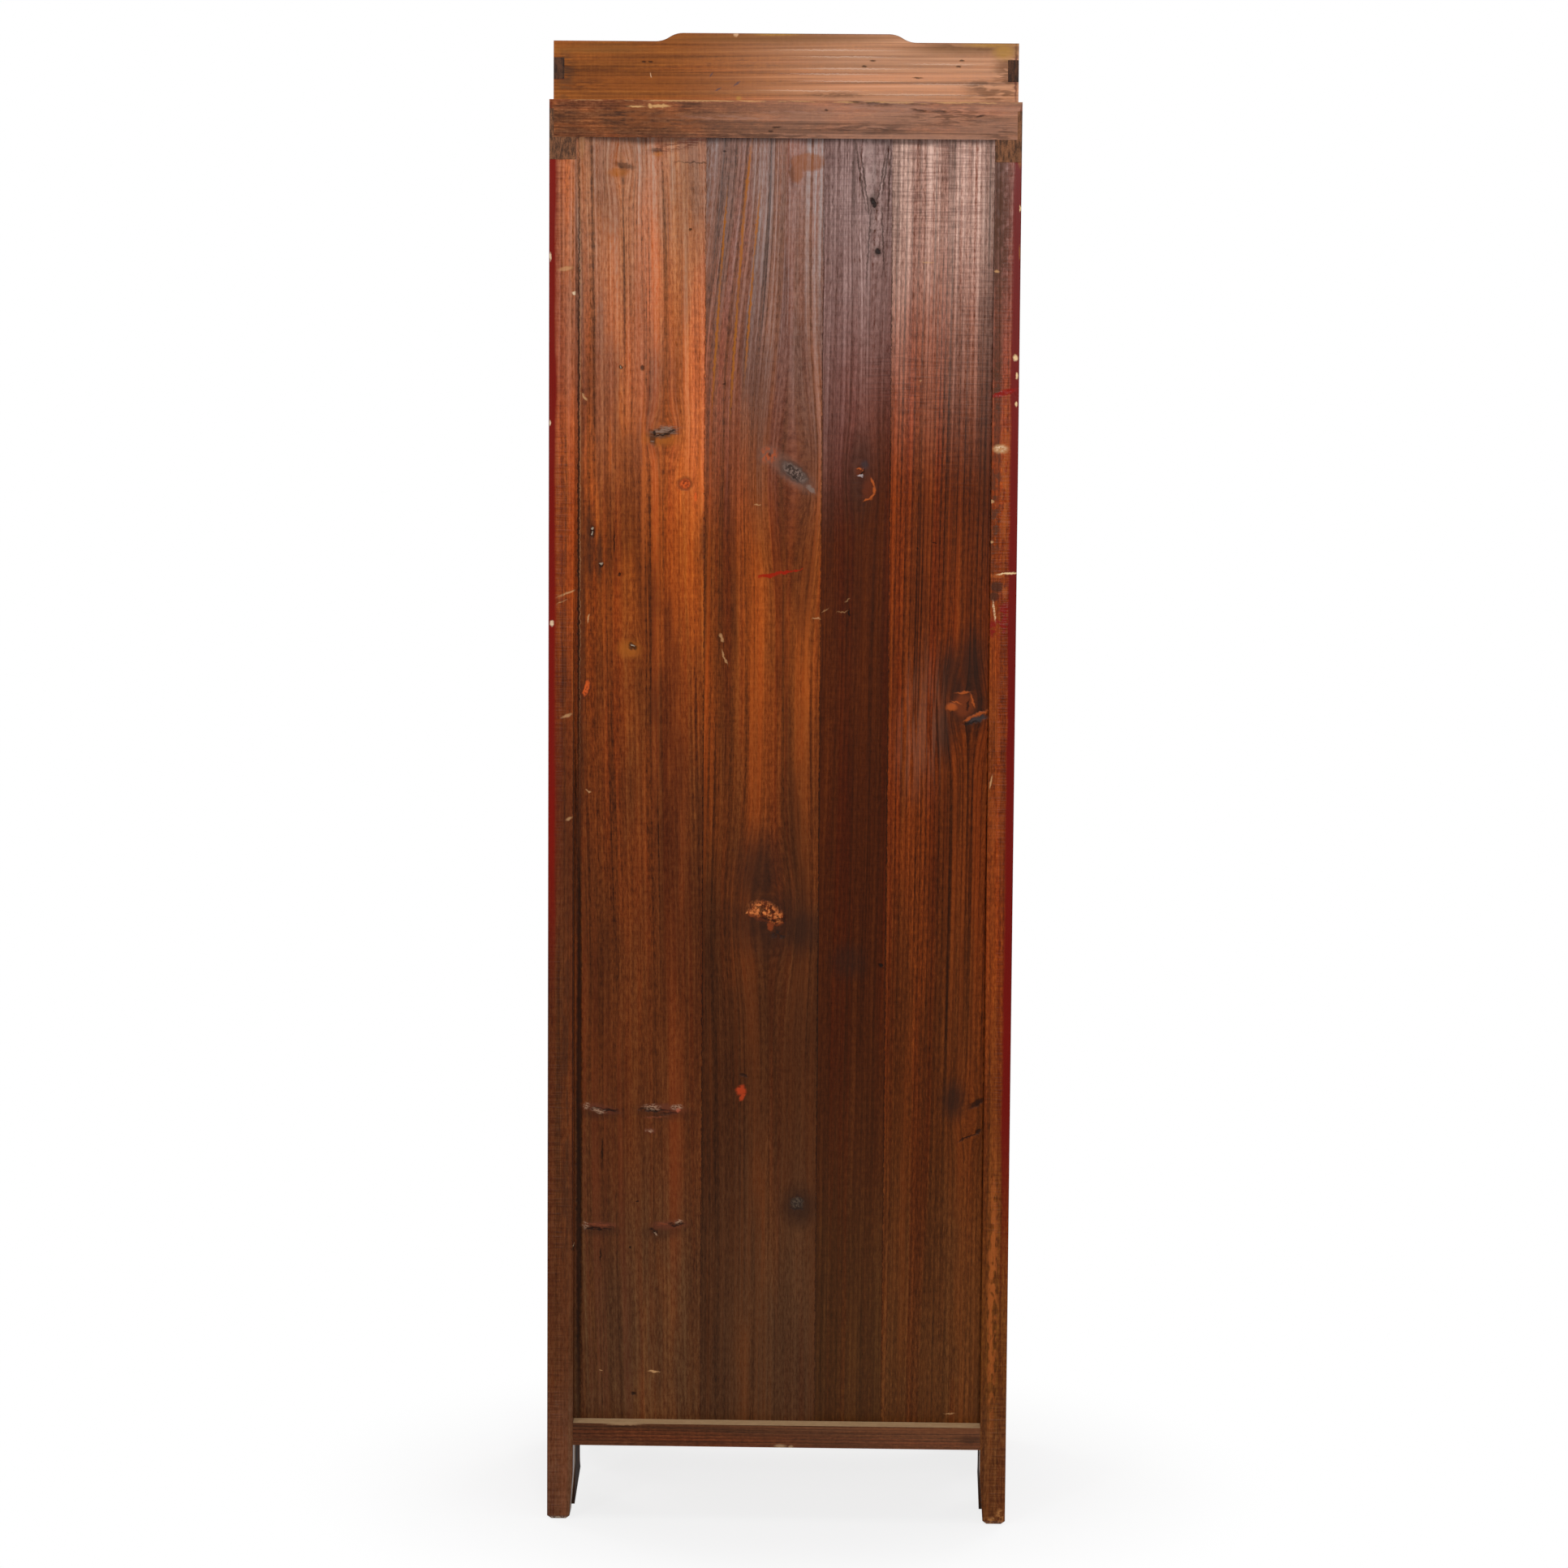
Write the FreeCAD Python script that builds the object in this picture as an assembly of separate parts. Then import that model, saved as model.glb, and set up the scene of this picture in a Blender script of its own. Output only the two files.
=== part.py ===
"""Tall, narrow lacquered cabinet on four feet, with a gallery on its top, two doors and one drawer.

Millimetres. +Z is up, the front looks along -Y, and the origin lies on the floor under the middle.
Left and right are those of a person who stands in front of the doors.
"""
import FreeCAD, Part
import math
import os

# Overall sizes of the case
carcass_width = 570.0
carcass_depth = 420.0
carcass_height = 1755.0

# Posts and the feet that they end in
post_width = 32.0
post_depth = 45.0
foot_height = 95.0
foot_bevel = 5.0
foot_taper_top = 62.0
foot_taper_across = 4.0
foot_taper_deep = 10.0
post_tenon_side = 12.0
post_tenon_height = 24.0

# Rails between the posts and on top of them
top_rail_height = 45.0
side_rail_extra_height = 27.0
bottom_rail_height = 28.0
rail_depth = 40.0
rail_tenon_thickness = 10.0
rail_tenon_length = 16.0
rail_tenon_shoulder = 5.0
corner_tongue = 5.5
corner_lug_height = 11.0

# Back panel of four boards, which leans: almost flush at its top, deep at its foot
back_board_thickness = 10.0
back_recess_top = 3.0
back_recess_bottom = 24.0
panel_groove_depth = 7.0
back_board_shares = (0.245, 0.161, 0.282, 0.312)

# Side panels
side_panel_thickness = 8.0
side_panel_recess = 6.0

# Top board
top_board_thickness = 12.0
top_board_drop = 3.0

# Gallery round three sides of the top
gallery_thickness = 13.0
gallery_height = 70.0
gallery_side_inset = 5.0
gallery_back_inset = 1.5
gallery_front_inset = 14.0
gallery_finger_height = 26.0
gallery_finger_drop = 20.0
crest_rise = 10.0
crest_top_half = 124.0
crest_ogee_run = 33.0
gallery_front_height = 30.0
gallery_high_length = 120.0
gallery_ogee_run = 90.0
gallery_nose_radius = 12.0
gallery_tenon_width = 30.0
gallery_tenon_thickness = 6.0
gallery_tenon_depth = 14.0

# Side brackets under the side rails
bracket_thickness = 24.0
bracket_top_length = 92.0
bracket_foot_length = 105.0
bracket_straight_depth = 48.0
bracket_toe_height = 27.0
bracket_heel_height = 10.0
bracket_flare_sag = 3.0

# Front apron
apron_thickness = 14.0
apron_setback = 4.0
apron_height = 26.0
apron_leg_length = 70.0
apron_leg_width = 12.0
apron_curve_run = 60.0
apron_cusp_rise = 6.0
apron_cusp_half = 40.0

# Drawer and the rail over it
drawer_opening_height = 120.0
drawer_rail_height = 26.0
drawer_gap = 1.0
drawer_running_gap = 0.3
drawer_front_thickness = 18.0
drawer_side_thickness = 12.0
drawer_side_height = 100.0
drawer_rear_gap = 28.0
drawer_back_thickness = 11.0
drawer_back_groove = 4.0
drawer_back_from_end = 14.0
drawer_bottom_thickness = 6.0
drawer_bottom_groove = 5.0
drawer_bottom_lift = 8.0
dovetail_count = 3
dovetail_length = 12.0
dovetail_root_half = 9.0
dovetail_end_half = 12.0
drawer_guide_height = 18.0
drawer_guide_gap = 0.5

# Boards inside
floor_thickness = 12.0
bearer_height = 18.0
bearer_reach = 10.0
shelf_thickness = 14.0
shelf_gap = 1.0
shelf_shares = (0.36, 0.68)
board_to_panel_gap = 0.4

# Doors
door_thickness = 18.0
door_gap = 1.2
door_meeting_gap = 2.0
door_stile_width = 38.0
door_rail_height = 38.0
door_tenon_thickness = 6.0
door_tenon_length = 22.0
door_tenon_shoulder = 6.0
door_panel_thickness = 7.0
door_panel_recess = 4.0
door_panel_groove = 6.0
door_panel_play = 1.0
door_middle_share = 0.36
door_stop_gap = 0.4

# Surface hinges
hinge_height = 66.0
hinge_leaf_width = 24.0
hinge_leaf_thickness = 1.5
hinge_barrel_radius = 4.0
hinge_pin_radius = 2.0
hinge_pin_play = 0.1
hinge_knuckle_gap = 0.4
hinge_leaf_clearance = 0.8
hinge_end_distance = 170.0
hinge_button_radius = 3.2
hinge_button_height = 2.6
hinge_middle_share = 0.42

# Door pulls: half-round plates, each with a drop on a cross pin
pull_plate_radius = 33.0
pull_plate_thickness = 1.5
pull_height = 985.0
pull_from_edge = 17.0
pull_pivot_offset = 6.5
pull_ear_thickness = 2.0
pull_ear_gap = 5.6
pull_ear_radius = 3.4
pull_pin_radius = 1.3
pull_pin_play = 0.3
drop_eye_radius = 3.4
drop_eye_width = 4.8
drop_neck_half = 2.0
drop_length = 36.0
drop_bulb_radius = 7.5
drop_thickness = 4.0
drop_waist_inset = 1.8

# Drawer pull: an oblong plate, two posts and a bail
bail_plate_length = 116.0
bail_plate_height = 40.0
bail_plate_thickness = 1.5
bail_post_spacing = 76.0
bail_post_radius = 4.5
bail_post_length = 13.0
bail_rod_radius = 2.4
bail_rod_sides = 8
bail_end_radius = 1.9
bail_end_play = 0.3
bail_shoulder = 7.0
bail_drop = 30.0
bail_bend_radius = 6.0
bail_pivot_from_tip = 4.5
bail_pivot_lift = 9.0

# How far a cutting solid runs past the face that it cuts
overrun = 1.0

half_width = carcass_width / 2
front_y = -carcass_depth / 2
back_y = carcass_depth / 2
post_inner_x = half_width - post_width
posts_top_z = carcass_height - top_rail_height
side_rail_bottom_z = posts_top_z - side_rail_extra_height
rail_top_z = foot_height + bottom_rail_height
drawer_rail_bottom_z = rail_top_z + drawer_opening_height
drawer_rail_top_z = drawer_rail_bottom_z + drawer_rail_height
rear_rail_front_y = back_y - rail_depth
front_rail_back_y = front_y + rail_depth
front_post_back_y = front_y + post_depth
rear_post_front_y = back_y - post_depth
panel_outer_x = half_width - side_panel_recess
panel_inner_x = panel_outer_x - side_panel_thickness
door_back_y = front_y + door_thickness
door_bottom_z = drawer_rail_top_z + door_gap
door_top_z = posts_top_z - door_gap
door_hinge_x = post_inner_x - door_gap
door_meeting_x = door_meeting_gap / 2
hinge_axis_x = post_inner_x - door_gap / 2
hinge_axis_y = front_y - hinge_barrel_radius
drawer_half_width = post_inner_x - drawer_gap
drawer_front_bottom_z = rail_top_z + drawer_gap
drawer_front_top_z = drawer_rail_bottom_z - drawer_gap
drawer_side_bottom_z = rail_top_z + drawer_running_gap
bail_pivot_y = front_y - bail_plate_thickness - bail_post_length + bail_pivot_from_tip
bail_pivot_z = (drawer_front_bottom_z + drawer_front_top_z) / 2 + bail_pivot_lift
pull_pivot_x = door_meeting_x + pull_from_edge
pull_pivot_y = front_y - pull_plate_thickness - pull_pivot_offset

LEFT = -1
RIGHT = 1
SIDES = {"left": LEFT, "right": RIGHT}


def vector(x, y, z):
    return FreeCAD.Vector(x, y, z)


def block(x_ends, y_ends, z_ends):
    """A box between two values along each axis, given in either order."""
    low = [min(ends) for ends in (x_ends, y_ends, z_ends)]
    high = [max(ends) for ends in (x_ends, y_ends, z_ends)]
    size = [b - a for a, b in zip(low, high)]
    return Part.makeBox(*size, vector(*low))


def outline_face(edges):
    return Part.Face(Part.Wire(Part.__sortEdges__(edges)))


def loop_edges(points):
    closed = points + points[:1]
    return [Part.LineSegment(a, b).toShape() for a, b in zip(closed, closed[1:])]


def across_prism(points_yz, x_ends):
    """A (y, z) outline carried along X."""
    x_low = min(x_ends)
    face = outline_face(loop_edges([vector(x_low, y, z) for y, z in points_yz]))
    return face.extrude(vector(max(x_ends) - x_low, 0, 0))


def deep_prism(points_xz, y_ends):
    """An (x, z) outline carried along Y."""
    y_low = min(y_ends)
    face = outline_face(loop_edges([vector(x, y_low, z) for x, z in points_xz]))
    return face.extrude(vector(0, max(y_ends) - y_low, 0))


def upright_prism(points_xy, z_ends):
    """An (x, y) outline carried along Z."""
    z_low = min(z_ends)
    face = outline_face(loop_edges([vector(x, y, z_low) for x, y in points_xy]))
    return face.extrude(vector(0, 0, max(z_ends) - z_low))


def rod(radius, start, end):
    direction = end.sub(start)
    return Part.makeCylinder(radius, direction.Length, start, direction)


def ogee_edges(start, end, place):
    """Two tangent arcs from start to end, level at both ends. place turns (u, z) into a point."""
    run = end[0] - start[0]
    drop = end[1] - start[1]
    turn = 2 * math.atan(abs(drop) / abs(run))
    radius = abs(run) / (2 * math.sin(turn))
    along = math.copysign(radius * math.sin(turn / 2), run)
    across = math.copysign(radius * (1 - math.cos(turn / 2)), drop)
    middle = (start[0] + run / 2, start[1] + drop / 2)
    first = (start[0] + along, start[1] + across)
    second = (end[0] - along, end[1] - across)
    return [
        Part.Arc(place(*start), place(*first), place(*middle)).toShape(),
        Part.Arc(place(*middle), place(*second), place(*end)).toShape(),
    ]


def line_edges(points, place):
    """Straight edges through (u, z) points."""
    placed = [place(*p) for p in points]
    return [Part.LineSegment(a, b).toShape() for a, b in zip(placed, placed[1:])]


def fused(first, *others):
    shape = first
    for other in others:
        shape = shape.fuse(other)
    return shape.removeSplitter()


def less(shape, *cutters):
    for cutter in cutters:
        shape = shape.cut(cutter)
    return shape


# Back panel: one leaning slab, cut into boards, and the same slab cuts the grooves


def back_face_y(z):
    """Y of the back panel's rear face at height z."""
    share = (z - rail_top_z) / (posts_top_z - rail_top_z)
    return back_y - back_recess_bottom + share * (back_recess_bottom - back_recess_top)


def back_slab(x_ends):
    low_z = rail_top_z - panel_groove_depth
    high_z = posts_top_z + panel_groove_depth
    outline = [
        (back_face_y(low_z), low_z),
        (back_face_y(high_z), high_z),
        (back_face_y(high_z) - back_board_thickness, high_z),
        (back_face_y(low_z) - back_board_thickness, low_z),
    ]
    return across_prism(outline, x_ends)


def whole_back_panel():
    reach = post_inner_x + panel_groove_depth
    return back_slab((-reach, reach))


def back_boards():
    """The boards from left to right. The outer two reach into the posts' grooves."""
    boards = {}
    start = -post_inner_x
    for number, share in enumerate(back_board_shares, start=1):
        end = start + share * 2 * post_inner_x
        low = start
        high = end
        if number == 1:
            low = -post_inner_x - panel_groove_depth
        if number == len(back_board_shares):
            high = post_inner_x + panel_groove_depth
        boards[f"back_board_{number}"] = back_slab((low, high))
        start = end
    return boards


# Side panels and top board


def side_panel(side):
    return block(
        (side * panel_inner_x, side * panel_outer_x),
        (front_post_back_y - panel_groove_depth, rear_post_front_y + panel_groove_depth),
        (rail_top_z - panel_groove_depth, side_rail_bottom_z + panel_groove_depth),
    )


def top_board():
    top_z = carcass_height - top_board_drop
    return block(
        (-post_inner_x - panel_groove_depth, post_inner_x + panel_groove_depth),
        (front_rail_back_y - panel_groove_depth, rear_rail_front_y + panel_groove_depth),
        (top_z - top_board_thickness, top_z),
    )


# Posts


def post_top_z(end):
    """The rear posts stop under the side rails, and the front ones under the mitred corners."""
    return side_rail_bottom_z if end > 0 else posts_top_z


def foot_outline(outer, inward, width, taper, top_z):
    """(u, z) outline of a post seen square on: a bevelled foot, tapered on its inner side."""
    return [
        (outer + inward * foot_bevel, 0),
        (outer + inward * (width - taper - foot_bevel), 0),
        (outer + inward * (width - taper), foot_bevel),
        (outer + inward * width, foot_taper_top),
        (outer + inward * width, top_z),
        (outer, top_z),
        (outer, foot_bevel),
    ]


def post_tenon(side, end):
    """The stub on a post's top. end is -1 at the front and 1 at the rear."""
    middle_x = side * (half_width - (post_width + corner_tongue) / 2)
    middle_y = end * (back_y - rail_depth / 2)
    half = post_tenon_side / 2
    return block(
        (middle_x - half, middle_x + half),
        (middle_y - half, middle_y + half),
        (post_top_z(end), post_top_z(end) + post_tenon_height),
    )


def plain_post(side, end):
    outer_x = side * half_width
    outer_y = end * back_y
    seen_from_front = deep_prism(
        foot_outline(outer_x, -side, post_width, foot_taper_across, post_top_z(end)),
        (outer_y, outer_y - end * post_depth),
    )
    seen_from_side = across_prism(
        foot_outline(outer_y, -end, post_depth, foot_taper_deep, post_top_z(end)),
        (outer_x, outer_x - side * post_width),
    )
    return fused(seen_from_front.common(seen_from_side), post_tenon(side, end))


# Rails between posts


def tenon_heights(z_ends):
    return (min(z_ends) + rail_tenon_shoulder, max(z_ends) - rail_tenon_shoulder)


def cross_rail(y_ends, z_ends):
    """A rail from the left post to the right one, with a tenon at each end."""
    middle_y = sum(y_ends) / 2
    half = rail_tenon_thickness / 2
    reach = post_inner_x + rail_tenon_length
    tenon = block((-reach, reach), (middle_y - half, middle_y + half), tenon_heights(z_ends))
    return fused(block((-post_inner_x, post_inner_x), y_ends, z_ends), tenon)


def side_bottom_rail(side):
    """A rail from the front post to the rear one, as wide as the posts."""
    z_ends = (foot_height, rail_top_z)
    middle_x = side * (post_inner_x + (panel_inner_x - post_inner_x) / 2)
    half = rail_tenon_thickness / 2
    body = block(
        (side * post_inner_x, side * half_width),
        (front_post_back_y, rear_post_front_y),
        z_ends,
    )
    tenon = block(
        (middle_x - half, middle_x + half),
        (front_post_back_y - rail_tenon_length, rear_post_front_y + rail_tenon_length),
        tenon_heights(z_ends),
    )
    return fused(body, tenon)


def rear_bottom_rail():
    return cross_rail((rear_rail_front_y, back_y), (foot_height, rail_top_z))


def front_bottom_rail():
    return cross_rail((front_y, front_rail_back_y), (foot_height, rail_top_z))


def drawer_rail():
    return cross_rail((front_y, front_rail_back_y), (drawer_rail_bottom_z, drawer_rail_top_z))


# Top frame. A side rail is higher than the others: it runs back over the rear post, its end
# shows there under the rear rail, and a thin tongue of it laps the rear rail's end, under a lug
# of that rail. At the front it butts the post, and its upper part meets the front rail in a mitre.


def rear_top_rail():
    lug_z = carcass_height - corner_lug_height
    short = half_width - corner_tongue
    lower = block((-short, short), (rear_rail_front_y, back_y), (posts_top_z, lug_z))
    upper = block(
        (-half_width, half_width), (rear_rail_front_y, back_y), (lug_z, carcass_height)
    )
    return fused(lower, upper)


def front_top_rail():
    outline = [
        (-half_width, front_y),
        (half_width, front_y),
        (post_inner_x, front_rail_back_y),
        (-post_inner_x, front_rail_back_y),
    ]
    return upright_prism(outline, (posts_top_z, carcass_height))


def side_rail_front_tenon(side):
    """The tenon at a side rail's front end, below the mitre."""
    middle_x = side * (post_inner_x + (panel_inner_x - post_inner_x) / 2)
    half = rail_tenon_thickness / 2
    return block(
        (middle_x - half, middle_x + half),
        (front_post_back_y - rail_tenon_length, front_post_back_y),
        (side_rail_bottom_z + rail_tenon_shoulder, posts_top_z - rail_tenon_shoulder),
    )


def side_top_rail(side):
    outline = [
        (side * half_width, front_y),
        (side * half_width, rear_rail_front_y),
        (side * post_inner_x, rear_rail_front_y),
        (side * post_inner_x, front_rail_back_y),
    ]
    upper = upright_prism(outline, (posts_top_z, carcass_height))
    lower = block(
        (side * half_width, side * post_inner_x),
        (front_post_back_y, back_y),
        (side_rail_bottom_z, posts_top_z),
    )
    tongue = block(
        (side * (half_width - corner_tongue), side * half_width),
        (rear_rail_front_y, back_y),
        (posts_top_z, carcass_height - corner_lug_height),
    )
    return fused(upper, lower, tongue, side_rail_front_tenon(side))


# Gallery


def gallery_back_ends():
    outer = back_y - gallery_back_inset
    return (outer - gallery_thickness, outer)


def gallery_finger(side):
    """The tenon of a gallery side that comes out through the gallery back."""
    outer = half_width - gallery_side_inset
    top = carcass_height + gallery_height - gallery_finger_drop
    return block(
        (side * (outer - gallery_thickness), side * outer),
        gallery_back_ends(),
        (top - gallery_finger_height, top),
    )


def gallery_stub(middle_x, middle_y, along_x):
    """A stub tenon under a gallery board."""
    half_long = gallery_tenon_width / 2
    half_thin = gallery_tenon_thickness / 2
    half_x = half_long if along_x else half_thin
    half_y = half_thin if along_x else half_long
    return block(
        (middle_x - half_x, middle_x + half_x),
        (middle_y - half_y, middle_y + half_y),
        (carcass_height - gallery_tenon_depth, carcass_height),
    )


def gallery_back_stubs():
    middle_y = sum(gallery_back_ends()) / 2
    return [gallery_stub(x, middle_y, True) for x in (-crest_top_half, 0, crest_top_half)]


def gallery_side_stubs(side):
    middle_x = side * (half_width - gallery_side_inset - gallery_thickness / 2)
    return [gallery_stub(middle_x, y, False) for y in (front_y / 2, back_y / 2)]


def gallery_back():
    """The back board, whose top rises in the middle through an ogee at each end of the crest."""
    y_low, y_high = gallery_back_ends()
    outer = half_width - gallery_side_inset
    low_z = carcass_height
    end_z = carcass_height + gallery_height
    crest_z = end_z + crest_rise
    ogee_x = crest_top_half + crest_ogee_run

    def place(x, z):
        return vector(x, y_low, z)

    edges = line_edges([(-ogee_x, end_z), (-outer, end_z), (-outer, low_z)], place)
    edges += line_edges([(-outer, low_z), (outer, low_z), (outer, end_z)], place)
    edges += line_edges([(outer, end_z), (ogee_x, end_z)], place)
    edges += ogee_edges((ogee_x, end_z), (crest_top_half, crest_z), place)
    edges += line_edges([(crest_top_half, crest_z), (-crest_top_half, crest_z)], place)
    edges += ogee_edges((-crest_top_half, crest_z), (-ogee_x, end_z), place)
    board = outline_face(edges).extrude(vector(0, y_high - y_low, 0))
    board = less(board, gallery_finger(LEFT), gallery_finger(RIGHT))
    return fused(board, *gallery_back_stubs())


def gallery_side(side):
    """A side board, which sweeps down from the back board's height to a low rounded front."""
    outer = half_width - gallery_side_inset
    x_ends = (side * (outer - gallery_thickness), side * outer)
    rear = gallery_back_ends()[0]
    front = front_y + gallery_front_inset
    low_z = carcass_height
    high_z = carcass_height + gallery_height
    front_z = carcass_height + gallery_front_height
    sweep_start = rear - gallery_high_length
    sweep_end = sweep_start - gallery_ogee_run
    nose = gallery_nose_radius
    nose_mid = nose * (1 - math.sqrt(0.5))

    def place(y, z):
        return vector(min(x_ends), y, z)

    edges = line_edges([(front, front_z - nose), (front, low_z), (rear, low_z)], place)
    edges += line_edges([(rear, low_z), (rear, high_z), (sweep_start, high_z)], place)
    edges += ogee_edges((sweep_start, high_z), (sweep_end, front_z), place)
    edges += line_edges([(sweep_end, front_z), (front + nose, front_z)], place)
    nose_arc = Part.Arc(
        place(front + nose, front_z),
        place(front + nose_mid, front_z - nose_mid),
        place(front, front_z - nose),
    )
    edges.append(nose_arc.toShape())
    board = outline_face(edges).extrude(vector(gallery_thickness, 0, 0))
    return fused(board, gallery_finger(side), *gallery_side_stubs(side))


# Brackets and apron


def side_bracket(side, end):
    """A bracket under a side rail, against a post: it flares towards a toe near the floor."""
    x_ends = (side * post_inner_x, side * (post_inner_x + bracket_thickness))
    root = end * (back_y - post_depth)
    low_root = end * (back_y - post_depth + foot_taper_deep)
    straight_z = foot_height - bracket_straight_depth
    heel_share = (foot_taper_top - bracket_heel_height) / (foot_taper_top - foot_bevel)
    heel = root + (low_root - root) * heel_share
    top_out = root - end * bracket_top_length
    toe_out = root - end * bracket_foot_length
    middle_out = (top_out + toe_out) / 2 + end * bracket_flare_sag
    middle_z = (straight_z + bracket_toe_height) / 2

    def place(y, z):
        return vector(min(x_ends), y, z)

    edges = line_edges([(root, foot_height), (top_out, foot_height)], place)
    edges += line_edges([(top_out, foot_height), (top_out, straight_z)], place)
    flare = Part.Arc(
        place(top_out, straight_z),
        place(middle_out, middle_z),
        place(toe_out, bracket_toe_height),
    )
    edges.append(flare.toShape())
    edges += line_edges(
        [
            (toe_out, bracket_toe_height),
            (heel, bracket_heel_height),
            (root, foot_taper_top),
            (root, foot_height),
        ],
        place,
    )
    return outline_face(edges).extrude(vector(bracket_thickness, 0, 0))


def front_apron():
    """The shaped board under the front rail, with a leg down each post and a cusp in the middle."""
    y_low = front_y + apron_setback
    low_z = foot_height - apron_height
    foot_z = foot_height - apron_leg_length
    cusp_z = low_z + apron_cusp_rise
    leg_in = post_inner_x - apron_leg_width
    curve_in = leg_in - apron_curve_run

    def place(x, z):
        return vector(x, y_low, z)

    edges = []
    for side in (LEFT, RIGHT):
        taper_share = (foot_taper_top - foot_z) / (foot_taper_top - foot_bevel)
        foot_x = side * (post_inner_x + foot_taper_across * taper_share)
        edges += line_edges(
            [
                (side * post_inner_x, foot_height),
                (side * post_inner_x, foot_taper_top),
                (foot_x, foot_z),
                (side * leg_in, foot_z + apron_leg_width),
            ],
            place,
        )
        bend = Part.Arc(
            place(side * leg_in, foot_z + apron_leg_width),
            place(side * (leg_in - apron_curve_run / 4), (low_z + foot_z + apron_leg_width) / 2),
            place(side * curve_in, low_z),
        )
        edges.append(bend.toShape())
        edges += line_edges([(side * curve_in, low_z), (side * apron_cusp_half, low_z)], place)
        edges += ogee_edges((side * apron_cusp_half, low_z), (0, cusp_z), place)
    edges += line_edges([(-post_inner_x, foot_height), (post_inner_x, foot_height)], place)
    return outline_face(edges).extrude(vector(0, apron_thickness, 0))


# Boards inside the case


def board_inside(z_ends, front_edge_y):
    """A level board between the posts, which clears the leaning back panel."""
    rear = back_face_y(min(z_ends)) - back_board_thickness - board_to_panel_gap
    reach = post_inner_x - board_to_panel_gap
    return block((-reach, reach), (front_edge_y, rear), z_ends)


def bottom_board():
    z_ends = (rail_top_z - floor_thickness, rail_top_z)
    return block(
        (-post_inner_x, post_inner_x), (front_rail_back_y, rear_rail_front_y), z_ends
    )


def cupboard_floor():
    z_ends = (drawer_rail_top_z - floor_thickness, drawer_rail_top_z)
    return board_inside(z_ends, front_rail_back_y)


def shelf_levels():
    """Undersides of the shelves."""
    clear = posts_top_z - drawer_rail_top_z
    return [drawer_rail_top_z + share * clear for share in shelf_shares]


def shelves():
    front_edge = door_back_y + door_stop_gap
    return [board_inside((z, z + shelf_thickness), front_edge) for z in shelf_levels()]


def side_bearers():
    """The strips between front and rear posts that carry the cupboard floor and the shelves."""
    tops = [drawer_rail_top_z - floor_thickness] + shelf_levels()
    strips = []
    for top in tops:
        for side in (LEFT, RIGHT):
            strip = block(
                (side * (post_inner_x - bearer_reach), side * panel_inner_x),
                (front_post_back_y, rear_post_front_y),
                (top - bearer_height, top),
            )
            strips.append(strip)
    return strips


def drawer_guides():
    strips = []
    for side in (LEFT, RIGHT):
        strip = block(
            (side * (drawer_half_width + drawer_guide_gap), side * panel_inner_x),
            (front_post_back_y, rear_post_front_y),
            (rail_top_z, rail_top_z + drawer_guide_height),
        )
        strips.append(strip)
    return strips


# Doors: mitred frames with a middle rail and two floating panels


def door_middle_ends():
    middle = door_bottom_z + door_middle_share * (door_top_z - door_bottom_z)
    return (middle - door_rail_height / 2, middle + door_rail_height / 2)


def door_y_ends():
    return (front_y, door_back_y)


def door_tenon_y_ends():
    middle = (front_y + door_back_y) / 2
    return (middle - door_tenon_thickness / 2, middle + door_tenon_thickness / 2)


def door_corner_tenon(outer_x, inward, outer_z, into):
    """The hidden tenon of a rail in a mitred corner. inward and into point to the panel."""
    inner_x = outer_x + inward * door_stile_width
    near = outer_z + into * (door_tenon_shoulder + door_panel_groove)
    far = outer_z + into * (door_rail_height - door_tenon_shoulder)
    return block((inner_x - inward * door_tenon_length, inner_x), door_tenon_y_ends(), (near, far))


def door_middle_tenons(side):
    low, high = door_middle_ends()
    reach = door_tenon_length
    hinge_in = side * (door_hinge_x - door_stile_width)
    lock_in = side * (door_meeting_x + door_stile_width)
    z_ends = (low + door_tenon_shoulder, high - door_tenon_shoulder)
    return block((hinge_in + side * reach, lock_in - side * reach), door_tenon_y_ends(), z_ends)


def door_panel_spans():
    """Heights of the two panel openings."""
    low, high = door_middle_ends()
    return {
        "lower": (door_bottom_z + door_rail_height, low),
        "upper": (high, door_top_z - door_rail_height),
    }


def door_panel(side, span, reach):
    """A panel that reaches that far past its opening on every side."""
    x_ends = (
        side * (door_meeting_x + door_stile_width - reach),
        side * (door_hinge_x - door_stile_width + reach),
    )
    y_low = front_y + door_panel_recess
    z_ends = (span[0] - reach, span[1] + reach)
    return block(x_ends, (y_low, y_low + door_panel_thickness), z_ends)


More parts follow.
